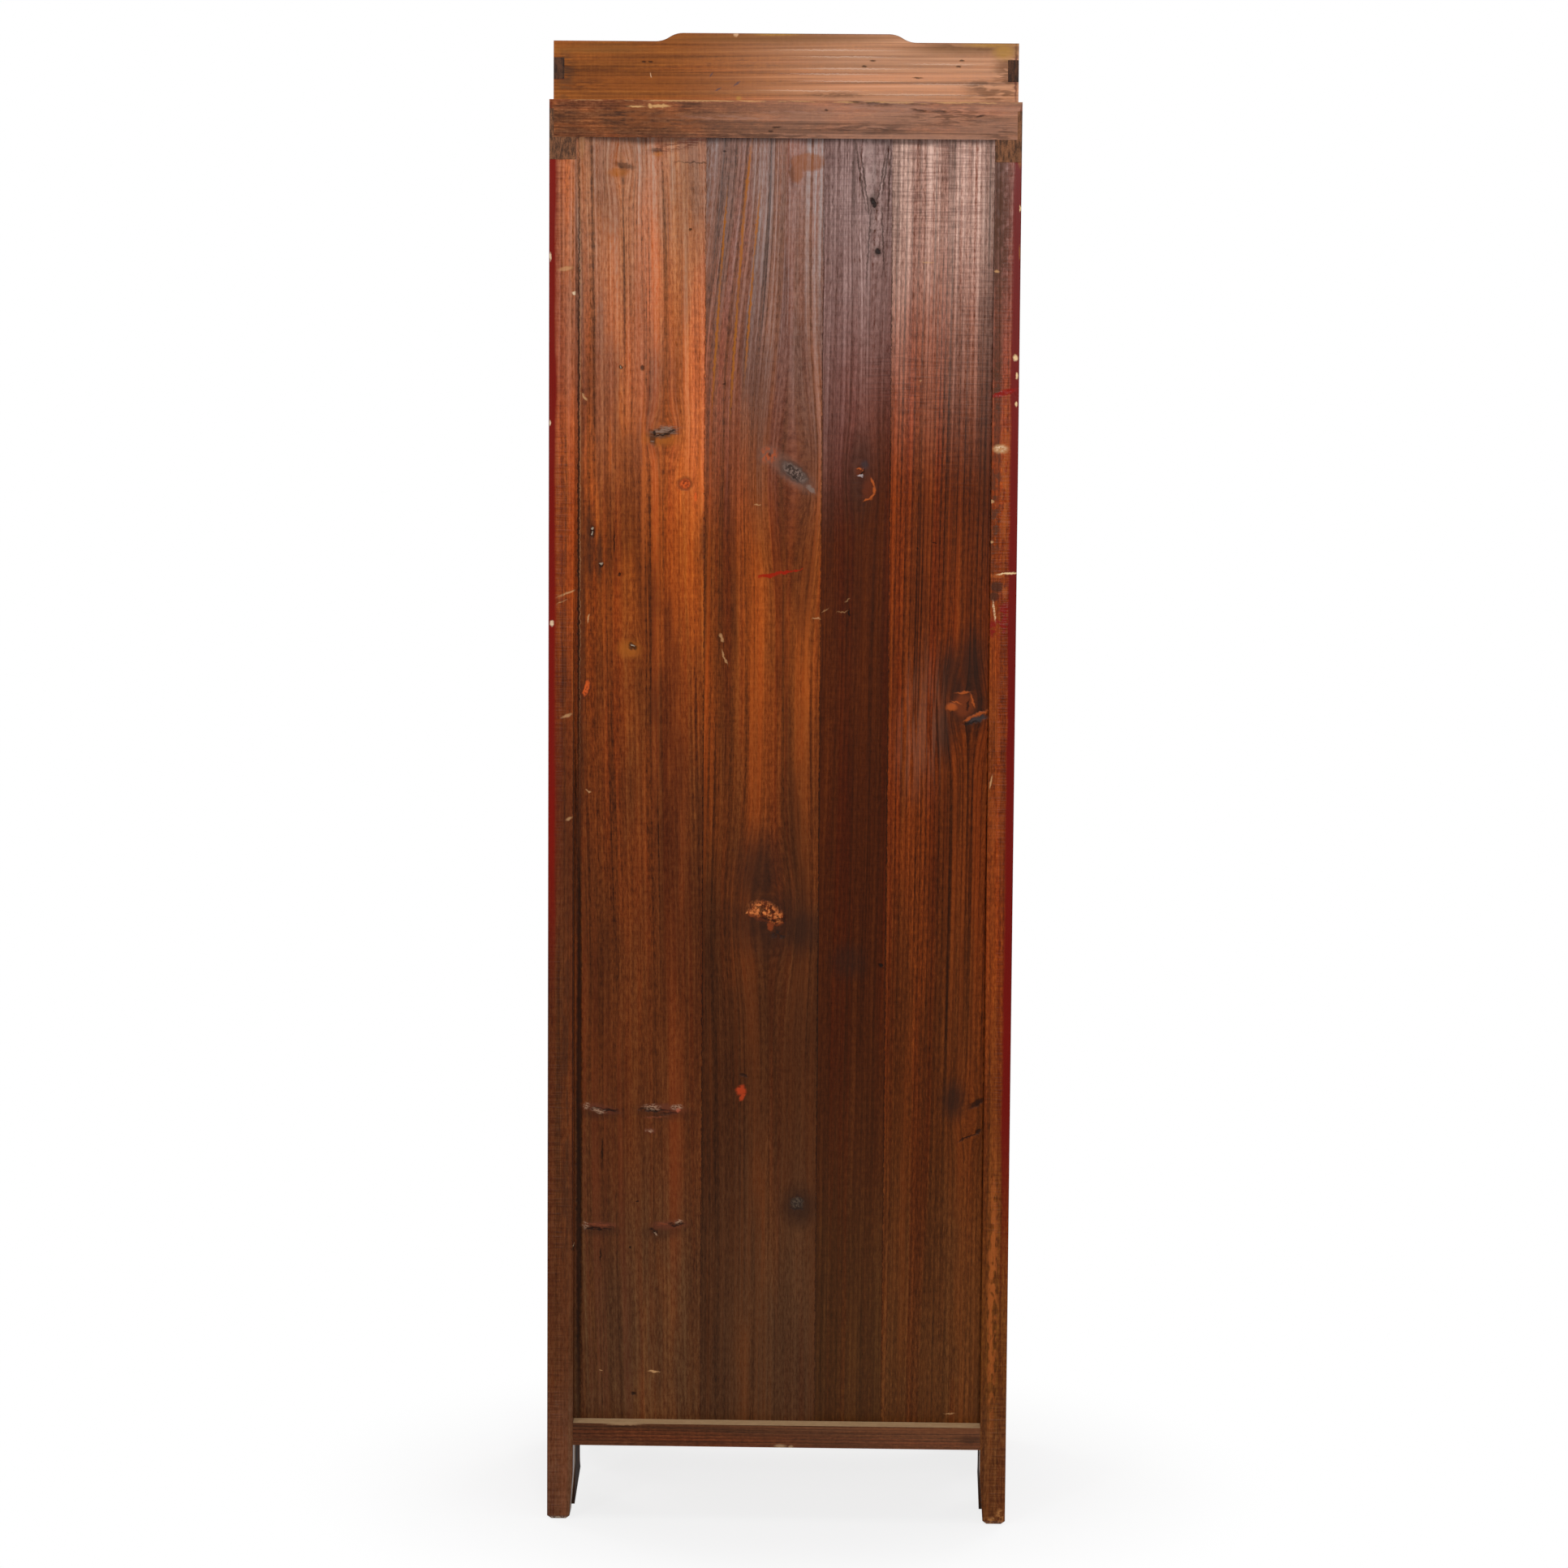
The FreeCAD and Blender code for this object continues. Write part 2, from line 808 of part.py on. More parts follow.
def door_pieces(side):
    hinge_x = side * door_hinge_x
    lock_x = side * door_meeting_x
    hinge_in = side * (door_hinge_x - door_stile_width)
    lock_in = side * (door_meeting_x + door_stile_width)
    low, high = door_bottom_z, door_top_z
    low_in, high_in = low + door_rail_height, high - door_rail_height
    y_ends = door_y_ends()
    grooves = [door_panel(side, s, door_panel_groove) for s in door_panel_spans().values()]
    corner = {}
    for name, z, into in (("bottom", low, 1), ("top", high, -1)):
        at_hinge = door_corner_tenon(hinge_x, -side, z, into)
        at_lock = door_corner_tenon(lock_x, side, z, into)
        corner[name] = (at_hinge, at_lock)
    tenons = [*corner["bottom"], *corner["top"], door_middle_tenons(side)]
    hinge_stile = [(hinge_x, low), (hinge_x, high), (hinge_in, high_in), (hinge_in, low_in)]
    lock_stile = [(lock_x, low), (lock_x, high), (lock_in, high_in), (lock_in, low_in)]
    top_rail = [(hinge_x, high), (lock_x, high), (lock_in, high_in), (hinge_in, high_in)]
    bottom_rail = [(hinge_x, low), (lock_x, low), (lock_in, low_in), (hinge_in, low_in)]
    middle = block((hinge_in, lock_in), y_ends, door_middle_ends())
    return {
        "hinge_stile": less(deep_prism(hinge_stile, y_ends), *tenons, *grooves),
        "lock_stile": less(deep_prism(lock_stile, y_ends), *tenons, *grooves),
        "top_rail": less(fused(deep_prism(top_rail, y_ends), *corner["top"]), *grooves),
        "bottom_rail": less(fused(deep_prism(bottom_rail, y_ends), *corner["bottom"]), *grooves),
        "middle_rail": less(fused(middle, door_middle_tenons(side)), *grooves),
    }


def door_panels(side):
    reach = door_panel_groove - door_panel_play
    return {
        f"{name}_panel": door_panel(side, span, reach)
        for name, span in door_panel_spans().items()
    }


# Hinges: two frame knuckles, one door knuckle between them, and a pin with a button head


def hinge_levels():
    """Lower ends of the hinges on a door."""
    return (
        door_bottom_z + hinge_end_distance,
        door_top_z - hinge_end_distance - hinge_height,
    )


def hinge_middle_ends(low_z):
    """Height span that belongs to the door's knuckle."""
    share = (1 - hinge_middle_share) / 2
    return (low_z + share * hinge_height, low_z + (1 - share) * hinge_height)


def hinge_axis_point(side, z):
    return vector(side * hinge_axis_x, hinge_axis_y, z)


def hinge_leaf(side, outward, low_z, knuckle_spans, bore_radius):
    """A leaf with its knuckles. outward is 1 towards the post and -1 towards the door."""
    axis_x = side * hinge_axis_x
    direction = side * outward
    y_ends = (front_y - hinge_leaf_thickness, front_y)
    start = axis_x + direction * (hinge_barrel_radius + hinge_leaf_clearance)
    end = axis_x + direction * (hinge_barrel_radius + hinge_leaf_width)
    plate = block((start, end), y_ends, (low_z, low_z + hinge_height))
    parts = [plate]
    bores = []
    for low, high in knuckle_spans:
        parts.append(block((axis_x, start), y_ends, (low, high)))
        low_point = hinge_axis_point(side, low)
        high_point = hinge_axis_point(side, high)
        parts.append(rod(hinge_barrel_radius, low_point, high_point))
        past = vector(0, 0, overrun)
        bores.append(rod(bore_radius, low_point.sub(past), high_point.add(past)))
    return less(fused(*parts), *bores)


def frame_hinge_leaf(side, low_z):
    middle_low, middle_high = hinge_middle_ends(low_z)
    spans = (
        (low_z, middle_low - hinge_knuckle_gap),
        (middle_high + hinge_knuckle_gap, low_z + hinge_height),
    )
    return hinge_leaf(side, 1, low_z, spans, hinge_pin_radius)


def door_hinge_leaf(side, low_z):
    bore_radius = hinge_pin_radius + hinge_pin_play
    return hinge_leaf(side, -1, low_z, (hinge_middle_ends(low_z),), bore_radius)


def hinge_pin(side, low_z):
    high_z = low_z + hinge_height
    top = hinge_axis_point(side, high_z)
    shank = rod(hinge_pin_radius, hinge_axis_point(side, low_z), top)
    head_top = hinge_axis_point(side, high_z + hinge_button_height)
    return fused(shank, rod(hinge_button_radius, top, head_top))


# Door pulls


def pull_plate(side):
    """Half of a round plate, with two ears and the cross pin that the drop hangs on."""
    y_ends = (front_y - pull_plate_thickness, front_y)
    disc = rod(
        pull_plate_radius,
        vector(0, y_ends[0], pull_height),
        vector(0, y_ends[1], pull_height),
    )
    far = side * (door_meeting_x + pull_plate_radius)
    reach = (pull_height - pull_plate_radius, pull_height + pull_plate_radius)
    plate = disc.common(block((side * door_meeting_x, far), y_ends, reach))
    pivot_x = side * pull_pivot_x
    ear_outer = pull_ear_gap / 2 + pull_ear_thickness
    ear_top = pull_pivot_y
    parts = [plate]
    for ear in (-1, 1):
        inner = pivot_x + ear * pull_ear_gap / 2
        outer = pivot_x + ear * ear_outer
        z_ends = (pull_height - pull_ear_radius, pull_height + pull_ear_radius)
        parts.append(block((inner, outer), (ear_top, y_ends[0]), z_ends))
        start = vector(min(inner, outer), pull_pivot_y, pull_height)
        end = vector(max(inner, outer), pull_pivot_y, pull_height)
        parts.append(rod(pull_ear_radius, start, end))
    start = vector(pivot_x - ear_outer, pull_pivot_y, pull_height)
    end = vector(pivot_x + ear_outer, pull_pivot_y, pull_height)
    parts.append(rod(pull_pin_radius, start, end))
    return fused(*parts)


def pull_drop(side):
    """A pear-shaped drop with an eye round the cross pin."""
    pivot_x = side * pull_pivot_x
    y_low = pull_pivot_y - drop_thickness / 2
    bulb_z = pull_height - drop_length
    waist_z = (pull_height + bulb_z) / 2
    waist_half = (drop_neck_half + drop_bulb_radius) / 2 - drop_waist_inset

    def place(x, z):
        return vector(pivot_x + x, y_low, z)

    edges = line_edges([(-drop_neck_half, pull_height), (drop_neck_half, pull_height)], place)
    for hand in (-1, 1):
        flank = Part.Arc(
            place(hand * drop_neck_half, pull_height),
            place(hand * waist_half, waist_z),
            place(hand * drop_bulb_radius, bulb_z),
        )
        edges.append(flank.toShape())
    bulb = Part.Arc(
        place(-drop_bulb_radius, bulb_z),
        place(0, bulb_z - drop_bulb_radius),
        place(drop_bulb_radius, bulb_z),
    )
    edges.append(bulb.toShape())
    body = outline_face(edges).extrude(vector(0, drop_thickness, 0))
    half = drop_eye_width / 2
    start = vector(pivot_x - half, pull_pivot_y, pull_height)
    end = vector(pivot_x + half, pull_pivot_y, pull_height)
    eye = rod(drop_eye_radius, start, end)
    past = vector(overrun, 0, 0)
    bore = rod(pull_pin_radius + pull_pin_play, start.sub(past), end.add(past))
    return less(fused(body, eye), bore)


# Drawer


def dovetails(side):
    """The tails at the front end of a drawer side."""
    x_ends = (side * drawer_half_width, side * (drawer_half_width - drawer_side_thickness))
    root_y = front_y + drawer_front_thickness
    end_y = root_y - dovetail_length
    pitch = drawer_side_height / dovetail_count
    tails = []
    for number in range(dovetail_count):
        middle = drawer_side_bottom_z + (number + 1 / 2) * pitch
        outline = [
            (root_y, middle - dovetail_root_half),
            (root_y, middle + dovetail_root_half),
            (end_y, middle + dovetail_end_half),
            (end_y, middle - dovetail_end_half),
        ]
        tails.append(across_prism(outline, x_ends))
    return tails


def drawer_rear_y():
    """Rear end of the drawer's sides, clear of the leaning back panel."""
    return back_face_y(rail_top_z) - back_board_thickness - drawer_rear_gap


def drawer_bottom():
    inner = drawer_half_width - drawer_side_thickness + drawer_bottom_groove
    low = drawer_side_bottom_z + drawer_bottom_lift
    front_edge = front_y + drawer_front_thickness - drawer_bottom_groove
    return block(
        (-inner, inner), (front_edge, drawer_rear_y()), (low, low + drawer_bottom_thickness)
    )


def drawer_back():
    inner = drawer_half_width - drawer_side_thickness + drawer_back_groove
    rear = drawer_rear_y() - drawer_back_from_end
    low = drawer_side_bottom_z + drawer_bottom_lift + drawer_bottom_thickness
    high = drawer_side_bottom_z + drawer_side_height
    return block((-inner, inner), (rear - drawer_back_thickness, rear), (low, high))


def drawer_front():
    front = block(
        (-drawer_half_width, drawer_half_width),
        (front_y, front_y + drawer_front_thickness),
        (drawer_front_bottom_z, drawer_front_top_z),
    )
    return less(front, *dovetails(LEFT), *dovetails(RIGHT), drawer_bottom())


def drawer_side(side):
    board = block(
        (side * drawer_half_width, side * (drawer_half_width - drawer_side_thickness)),
        (front_y + drawer_front_thickness, drawer_rear_y()),
        (drawer_side_bottom_z, drawer_side_bottom_z + drawer_side_height),
    )
    return less(fused(board, *dovetails(side)), drawer_bottom(), drawer_back())


def bail_mount():
    """The oblong plate and the two bored posts that hold the bail."""
    y_ends = (front_y - bail_plate_thickness, front_y)
    middle_z = (drawer_front_bottom_z + drawer_front_top_z) / 2
    end_radius = bail_plate_height / 2
    straight = bail_plate_length / 2 - end_radius
    parts = [
        block((-straight, straight), y_ends, (middle_z - end_radius, middle_z + end_radius))
    ]
    for side in (LEFT, RIGHT):
        start = vector(side * straight, y_ends[0], middle_z)
        end = vector(side * straight, y_ends[1], middle_z)
        parts.append(rod(end_radius, start, end))
    bores = []
    for side in (LEFT, RIGHT):
        post_x = side * bail_post_spacing / 2
        tip = vector(post_x, y_ends[0] - bail_post_length, bail_pivot_z)
        parts.append(rod(bail_post_radius, tip, vector(post_x, y_ends[0], bail_pivot_z)))
        reach = bail_post_radius + overrun
        start = vector(post_x - reach, bail_pivot_y, bail_pivot_z)
        end = vector(post_x + reach, bail_pivot_y, bail_pivot_z)
        bores.append(rod(bail_end_radius + bail_end_play, start, end))
    return less(fused(*parts), *bores)


def bail():
    """An eight-sided bent rod that hangs between the posts, its thin round ends turned in."""
    side_x = bail_post_spacing / 2 + bail_shoulder + bail_bend_radius
    bottom_z = bail_pivot_z - bail_drop
    bend = bail_bend_radius
    share = 1 - math.sqrt(0.5)
    shoulder_x = side_x - bend

    def place(x, z):
        return vector(x, bail_pivot_y, z)

    def corner(side, z_far, z_near):
        """A quarter bend between a level run and an upright one."""
        level = place(side * shoulder_x, z_far)
        upright = place(side * side_x, z_near)
        inset = bend * share
        towards = math.copysign(inset, z_near - z_far)
        middle = place(side * (side_x - inset), z_far + towards)
        return Part.Arc(level, middle, upright).toShape()

    edges = line_edges([(-shoulder_x, bottom_z), (shoulder_x, bottom_z)], place)
    for side in (LEFT, RIGHT):
        edges.append(corner(side, bottom_z, bottom_z + bend))
        edges += line_edges(
            [(side * side_x, bottom_z + bend), (side * side_x, bail_pivot_z - bend)], place
        )
        edges.append(corner(side, bail_pivot_z, bail_pivot_z - bend))
    start = place(-shoulder_x, bail_pivot_z)
    path = Part.Wire(Part.__sortEdges__(edges))
    corners = []
    for number in range(bail_rod_sides):
        angle = 2 * math.pi * (number + 1 / 2) / bail_rod_sides
        across = bail_rod_radius * math.cos(angle)
        up = bail_rod_radius * math.sin(angle)
        corners.append(start.add(vector(0, across, up)))
    section = Part.Wire(Part.__sortEdges__(loop_edges(corners)))
    rod_body = path.makePipeShell([section], True, False)
    ends = []
    for side in (LEFT, RIGHT):
        outer = place(side * shoulder_x, bail_pivot_z)
        inner = place(side * (bail_post_spacing / 2 - bail_post_radius), bail_pivot_z)
        ends.append(rod(bail_end_radius, inner, outer))
    return fused(rod_body, *ends)


# The whole cabinet


def carcass():
    panel = whole_back_panel()
    top = top_board()
    pieces = dict(back_boards())
    posts = {}
    rails = {
        "rear_bottom_rail": rear_bottom_rail(),
        "front_bottom_rail": front_bottom_rail(),
        "drawer_rail": drawer_rail(),
    }
    for name, side in SIDES.items():
        rails[f"side_bottom_rail_{name}"] = side_bottom_rail(side)
    panels = {f"side_panel_{name}": side_panel(side) for name, side in SIDES.items()}
    for name, side in SIDES.items():
        joints = [*rails.values(), panels[f"side_panel_{name}"], side_rail_front_tenon(side)]
        posts[f"front_post_{name}"] = less(plain_post(side, -1), *joints)
        posts[f"rear_post_{name}"] = less(plain_post(side, 1), *joints, panel)
    stubs = gallery_back_stubs()
    tenons = [post_tenon(side, end) for side in SIDES.values() for end in (-1, 1)]
    top_rails = {
        "rear_top_rail": less(rear_top_rail(), *stubs),
        "front_top_rail": front_top_rail(),
    }
    for name, side in SIDES.items():
        top_rails[f"side_top_rail_{name}"] = less(side_top_rail(side), *gallery_side_stubs(side))
    for name, rail in top_rails.items():
        pieces[name] = less(rail, top, panel, *panels.values(), *tenons)
    for name, rail in rails.items():
        pieces[name] = less(rail, panel, *panels.values())
    pieces.update(posts)
    pieces.update(panels)
    pieces["top_board"] = top
    return pieces


def hardware_and_boards():
    levels = hinge_levels()
    ends = [(side, end) for side in SIDES.values() for end in (-1, 1)]
    return {
        "gallery_back": gallery_back(),
        "gallery_side_left": gallery_side(LEFT),
        "gallery_side_right": gallery_side(RIGHT),
        "side_brackets": [side_bracket(side, end) for side, end in ends],
        "front_apron": front_apron(),
        "bottom_board": bottom_board(),
        "cupboard_floor": cupboard_floor(),
        "shelves": shelves(),
        "side_bearers": side_bearers(),
        "drawer_guides": drawer_guides(),
        "frame_hinge_leaves": [frame_hinge_leaf(s, z) for s in SIDES.values() for z in levels],
        "hinge_pins": [hinge_pin(s, z) for s in SIDES.values() for z in levels],
    }


def doors():
    pieces = {}
    for name, side in SIDES.items():
        for piece, shape in {**door_pieces(side), **door_panels(side)}.items():
            pieces[f"door_{name}_{piece}"] = shape
        pieces[f"door_{name}_hinge_leaves"] = [door_hinge_leaf(side, z) for z in hinge_levels()]
        pieces[f"door_{name}_pull_plate"] = pull_plate(side)
        pieces[f"door_{name}_pull_drop"] = pull_drop(side)
    return pieces


def drawer():
    return {
        "drawer_front": drawer_front(),
        "drawer_side_left": drawer_side(LEFT),
        "drawer_side_right": drawer_side(RIGHT),
        "drawer_back": drawer_back(),
        "drawer_bottom": drawer_bottom(),
        "drawer_bail_mount": bail_mount(),
        "drawer_bail": bail(),
    }


def cabinet():
    return {**carcass(), **hardware_and_boards(), **doors(), **drawer()}


def main():
    os.makedirs("parts", exist_ok=True)
    for name, shape in cabinet().items():
        solids = shape if isinstance(shape, list) else [shape]
        body = solids[0] if len(solids) == 1 else Part.makeCompound(solids)
        body.exportStep(f"parts/{name}.step")
        print(name, len(body.Solids), body.isValid(), round(body.Volume))


if __name__ == "__main__":
    main()
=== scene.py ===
import math

import bmesh
import bpy
from mathutils import Matrix, Vector


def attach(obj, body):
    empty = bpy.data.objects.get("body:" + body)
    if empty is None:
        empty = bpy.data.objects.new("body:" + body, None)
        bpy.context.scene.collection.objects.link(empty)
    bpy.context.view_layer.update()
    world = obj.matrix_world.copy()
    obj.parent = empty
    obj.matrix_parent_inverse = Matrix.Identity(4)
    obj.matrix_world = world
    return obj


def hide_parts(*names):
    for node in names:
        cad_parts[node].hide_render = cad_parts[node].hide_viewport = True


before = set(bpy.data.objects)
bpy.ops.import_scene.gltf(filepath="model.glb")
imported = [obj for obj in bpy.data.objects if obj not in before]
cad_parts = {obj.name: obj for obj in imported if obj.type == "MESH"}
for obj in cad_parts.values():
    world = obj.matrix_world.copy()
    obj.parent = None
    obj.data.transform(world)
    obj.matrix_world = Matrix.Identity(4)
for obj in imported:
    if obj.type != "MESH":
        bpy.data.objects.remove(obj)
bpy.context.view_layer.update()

scene = bpy.context.scene
mm = 0.001


def tone(red, green, blue):
    # a colour as it is seen, 0 to 255, as the shader wants it
    seen = [part / 255 for part in (red, green, blue)]
    return tuple(s / 12.92 if s <= 0.04045 else ((s + 0.055) / 1.055) ** 2.4 for s in seen) + (1.0,)


class Wire:
    # a socket of a material; arithmetic on it adds Math nodes
    def __init__(self, finish, socket):
        self.finish = finish
        self.socket = socket

    def work(self, operation, *others):
        return self.finish.node("Math", {"operation": operation}, dict(enumerate((self, *others))))

    def workAfter(self, operation, first):
        return self.finish.node("Math", {"operation": operation}, {0: first, 1: self})

    def __add__(self, other):
        return self.work("ADD", other)

    def __sub__(self, other):
        return self.work("SUBTRACT", other)

    def __rsub__(self, other):
        return self.workAfter("SUBTRACT", other)

    def __mul__(self, other):
        return self.work("MULTIPLY", other)

    def __truediv__(self, other):
        return self.work("DIVIDE", other)

    def __rtruediv__(self, other):
        return self.workAfter("DIVIDE", other)

    __radd__ = __add__
    __rmul__ = __mul__

    def most(self, other):
        return self.work("MAXIMUM", other)

    def rise(self, start, end, low=0.0, high=1.0):
        # a soft step from low to high as the value goes from start to end
        values = {0: self, 1: start, 2: end, 3: low, 4: high}
        return self.finish.node("MapRange", {"interpolation_type": "SMOOTHSTEP"}, values)

    def output(self, number):
        return Wire(self.finish, self.socket.node.outputs[number])


class Finish:
    # a material, or the world, and the nodes put into it
    def __init__(self, name, world=None):
        self.material = world or bpy.data.materials.new(name)
        self.material.use_nodes = True
        self.tree = self.material.node_tree
        self.tree.nodes.clear()

    def node(self, kind, settings=None, values=None, output=0):
        made = self.tree.nodes.new("ShaderNode" + kind)
        for key, setting in (settings or {}).items():
            if key == "stops":
                self.fillRamp(made.color_ramp, setting)
            else:
                setattr(made, key, setting)
        for key, value in (values or {}).items():
            if isinstance(value, Wire):
                self.tree.links.new(value.socket, made.inputs[key])
            else:
                made.inputs[key].default_value = value
        return Wire(self, made.outputs[output]) if made.outputs else None

    def fillRamp(self, ramp, stops):
        while len(ramp.elements) < len(stops):
            ramp.elements.new(1.0)
        for element, (spot, colour) in zip(ramp.elements, stops):
            element.position = spot
            element.color = colour

    def mix(self, first, second, share, blend="MIX"):
        settings = {"data_type": "RGBA", "blend_type": blend}
        return self.node("Mix", settings, {0: share, 6: first, 7: second}, output=2)

    def noise(self, place, spread, detail, rough, seed):
        # spread: how many waves to the metre in each of the three directions
        shift = (seed, seed * 1.7 + 3.1, seed * 0.6 + 7.7)
        settings = {"operation": "MULTIPLY_ADD"}
        scaled = self.node("VectorMath", settings, {0: place, 1: spread, 2: shift})
        values = {"Vector": scaled, "Scale": 1.0, "Detail": detail, "Roughness": rough}
        return self.node("TexNoise", {}, values)

    def spot(self, place, centre, size, soft, turn):
        # 1 inside an oval on the face, 0 outside; centre and size in metres
        if turn:
            pivot = (centre[0], centre[1], 0.0)
            turned = {"Vector": place, "Center": pivot, "Angle": -math.radians(turn)}
            place = self.node("VectorRotate", {"rotation_type": "Z_AXIS"}, turned)
        scale = (1 / size[0], 1 / size[1], 0.0)
        shift = (-centre[0] / size[0], -centre[1] / size[1], 0.0)
        settings = {"operation": "MULTIPLY_ADD"}
        local = self.node("VectorMath", settings, {0: place, 1: scale, 2: shift})
        reach = self.node("VectorMath", {"operation": "LENGTH"}, {0: local}, output=1)
        return reach.rise(1 - soft, 1 + soft, 1.0, 0.0)

    def close(self, surface, relief, gloss=0.5, normal=None, metal=0.0):
        # relief: the height of the bumps in metres
        values = {"Height": surface["height"], "Strength": 1.0, "Distance": relief}
        if normal is not None:
            values["Normal"] = normal
        bump = self.node("Bump", {}, values)
        shader = {"Base Color": surface["colour"], "Roughness": surface["rough"], "Metallic": metal, "Normal": bump}
        shader["Specular IOR Level"] = gloss
        self.node("OutputMaterial", {}, {"Surface": self.node("BsdfPrincipled", {}, shader)})
        return self.material


alongTurns = {"z": (0, 2, 1), "x": (2, 0, 1), "y": (2, 1, 0)}


def boardPlace(f, along):
    # the point on the piece as (across the grain, along the grain, through), in metres
    spot = f.node("TexCoord", output=3)
    x = f.node("SeparateXYZ", {}, {0: spot})
    axes = [x, x.output(1), x.output(2)]
    order = alongTurns[along]
    return f.node("CombineXYZ", {}, {i: axes[order[i]] for i in range(3)}), axes


def facing(f):
    # the face's own direction, which turns with the piece
    normal = f.node("SeparateXYZ", {}, {0: f.node("TexCoord", output=1)})
    return [normal, normal.output(1), normal.output(2)]


# Fir boards: rings cut at their own slope, fibre, bands, knots with the grain bowed round them

# knots: (across, along, radius, stretch) in metres
plainFir = {
    "seed": 0.0, "heart": 0.4, "pith": 0.05, "lean": 0.0, "spacing": 0.0045, "sway": 0.02, "wobble": 0.0025,
    "knots": (), "bands": 0.7, "lines": 1.2, "fine": 0.65, "fibre": 1.1, "mottle": 0.26, "rings": 0.18, "dark": 0.6,
    "patches": 0.7, "patchSpread": (21, 2.1, 9), "patchTint": (0.44, 0.44, 0.54, 1.0), "calm": (-9.0, -8.0, 1.0),
    "glow": 0.7, "glowTint": (1.4, 1.22, 1.0, 1.0), "red": 0.8, "redTint": (1.12, 0.82, 0.7, 1.0),
    "stops": (0.08, 0.5, 0.92), "tones": (tone(52, 24, 13), tone(128, 66, 36), tone(184, 104, 56)),
    "rust": tone(190, 84, 34), "rustShare": 0.35, "relief": 1.0, "rough": 0.3,
    "swaySpread": (2.5, 0.8, 2.5), "wobbleSpread": (30, 2.4, 30), "bow": 0.85, "bowFade": -0.7,
}


# each noise of the grain: waves to the metre out from the heart, along and through; detail, roughness, seed
grainNoises = {
    "band": ((24, 0.45, 6), 2.0, 0.5, 11), "hue": ((38, 0.6, 6), 2.0, 0.5, 17),
    "lines": ((150, 1.1, 12), 3.0, 0.75, 23), "fine": ((420, 3.5, 60), 2.0, 0.6, 29),
    "fibre": ((560, 110, 200), 3.0, 0.7, 35), "mottle": ((80, 330, 60), 2.0, 0.6, 49),
}


def firGrain(f, place, wood):
    # sway and wobble move the rings off straight lines; slant turns them over a stretch of the board
    wood = {**plainFir, **wood}
    seed = wood["seed"]
    across = f.node("SeparateXYZ", {}, {0: place})
    along, through = across.output(1), across.output(2)
    sway = (f.noise(place, wood["swaySpread"], 2.0, 0.5, seed) - 0.5) * (2 * wood["sway"])
    wobble = (f.noise(place, wood["wobbleSpread"], 1.0, 0.5, seed + 5) - 0.5) * (2 * wood["wobble"])
    line = across + sway + wobble
    if "slant" in wood:
        amount, z, x = wood["slant"]
        line = line + along.rise(*z) * across.rise(*x) * amount
    for x, z, radius, stretch in wood["knots"]:
        scale = (1 / radius, 1 / (radius * stretch), 0.0)
        shift = (-x / radius, -z / (radius * stretch), 0.0)
        local = f.node("VectorMath", {"operation": "MULTIPLY_ADD"}, {0: place, 1: scale, 2: shift})
        reach = f.node("VectorMath", {"operation": "DOT_PRODUCT"}, {0: local, 1: local}, output=1)
        # the grain bows round the knot
        line = line - (across - x) * (reach * wood["bowFade"]).work("EXPONENT") * wood["bow"]
    aside = line - wood["heart"]
    height = through + wood["pith"] + along * wood["lean"]
    radius = (aside * aside + height * height).work("SQRT")
    ringLine = f.node("CombineXYZ", {}, {0: radius, 1: along, 2: through})
    band, hue, lines, fine, fibre, mottle = (
        f.noise(ringLine, spread, detail, rough, seed + shift)
        for spread, detail, rough, shift in grainNoises.values())
    phase = (radius / wood["spacing"] + band * 3.0).work("FRACT")
    late = phase.rise(0.35, 0.9) * phase.rise(0.9, 1.0, 1.0, 0.0) * fine.rise(0.3, 0.6)
    calmFrom, calmTo, calmLeast = wood["calm"]
    calm = along.rise(calmFrom, calmTo, calmLeast, 1.0)  # the grain is quieter low down
    contrast = hue.rise(0.36, 0.6, 0.55, 1.25) * calm
    shade = 0.55 + (band - 0.5) * wood["bands"] + (lines - 0.5) * contrast * wood["lines"]
    shade = shade + (fine - 0.5) * wood["fine"] + (fibre - 0.5) * wood["fibre"]
    shade = shade + ((mottle - 0.5) * wood["mottle"] - late * wood["rings"]) * calm
    colour = f.node("ValToRGB", {"stops": list(zip(wood["stops"], wood["tones"]))}, {0: shade})
    rusty = hue.rise(0.46, 0.6) * lines.rise(0.4, 0.6) * wood["rustShare"]
    colour = f.mix(colour, wood["rust"], rusty)
    reddish = hue.rise(0.49, 0.4) * lines.rise(0.35, 0.6) * wood["red"]
    colour = f.mix(colour, wood["redTint"], reddish, "MULTIPLY")
    cloud = f.noise(ringLine, wood["patchSpread"], 3.0, 0.55, seed + 43)
    stainPatch = cloud + (lines - 0.5) * 0.3 + (fibre - 0.5) * 0.1
    dull = stainPatch.rise(0.5, 0.57) * calm * wood["patches"]
    colour = f.mix(colour, wood["patchTint"], dull, "MULTIPLY")
    colour = f.mix(colour, wood["glowTint"], stainPatch.rise(0.47, 0.4) * wood["glow"], "MULTIPLY")
    colour = f.mix(colour, wood["tones"][0], lines.rise(0.42, 0.3) * contrast * wood["dark"])
    height = (lines * 0.5 + fine * 0.5 + fibre * 0.4 - late * 0.3) * wood["relief"]
    rough = wood["rough"] + (fibre - 0.5) * 0.2 + (0.5 - lines) * 0.2 + dull * 0.06
    # streak: where the pale veil of painted sheen and old wax bloom shows most
    streak = hue.rise(0.4, 0.58, 0.8, 1.2) * lines.rise(0.34, 0.66, 0.6, 1.4) * (1.15 - late * 0.6)
    surface = {"colour": colour, "rough": rough, "height": height, "fine": fine, "fibre": fibre}
    return {**surface, "lines": lines, "streak": streak}


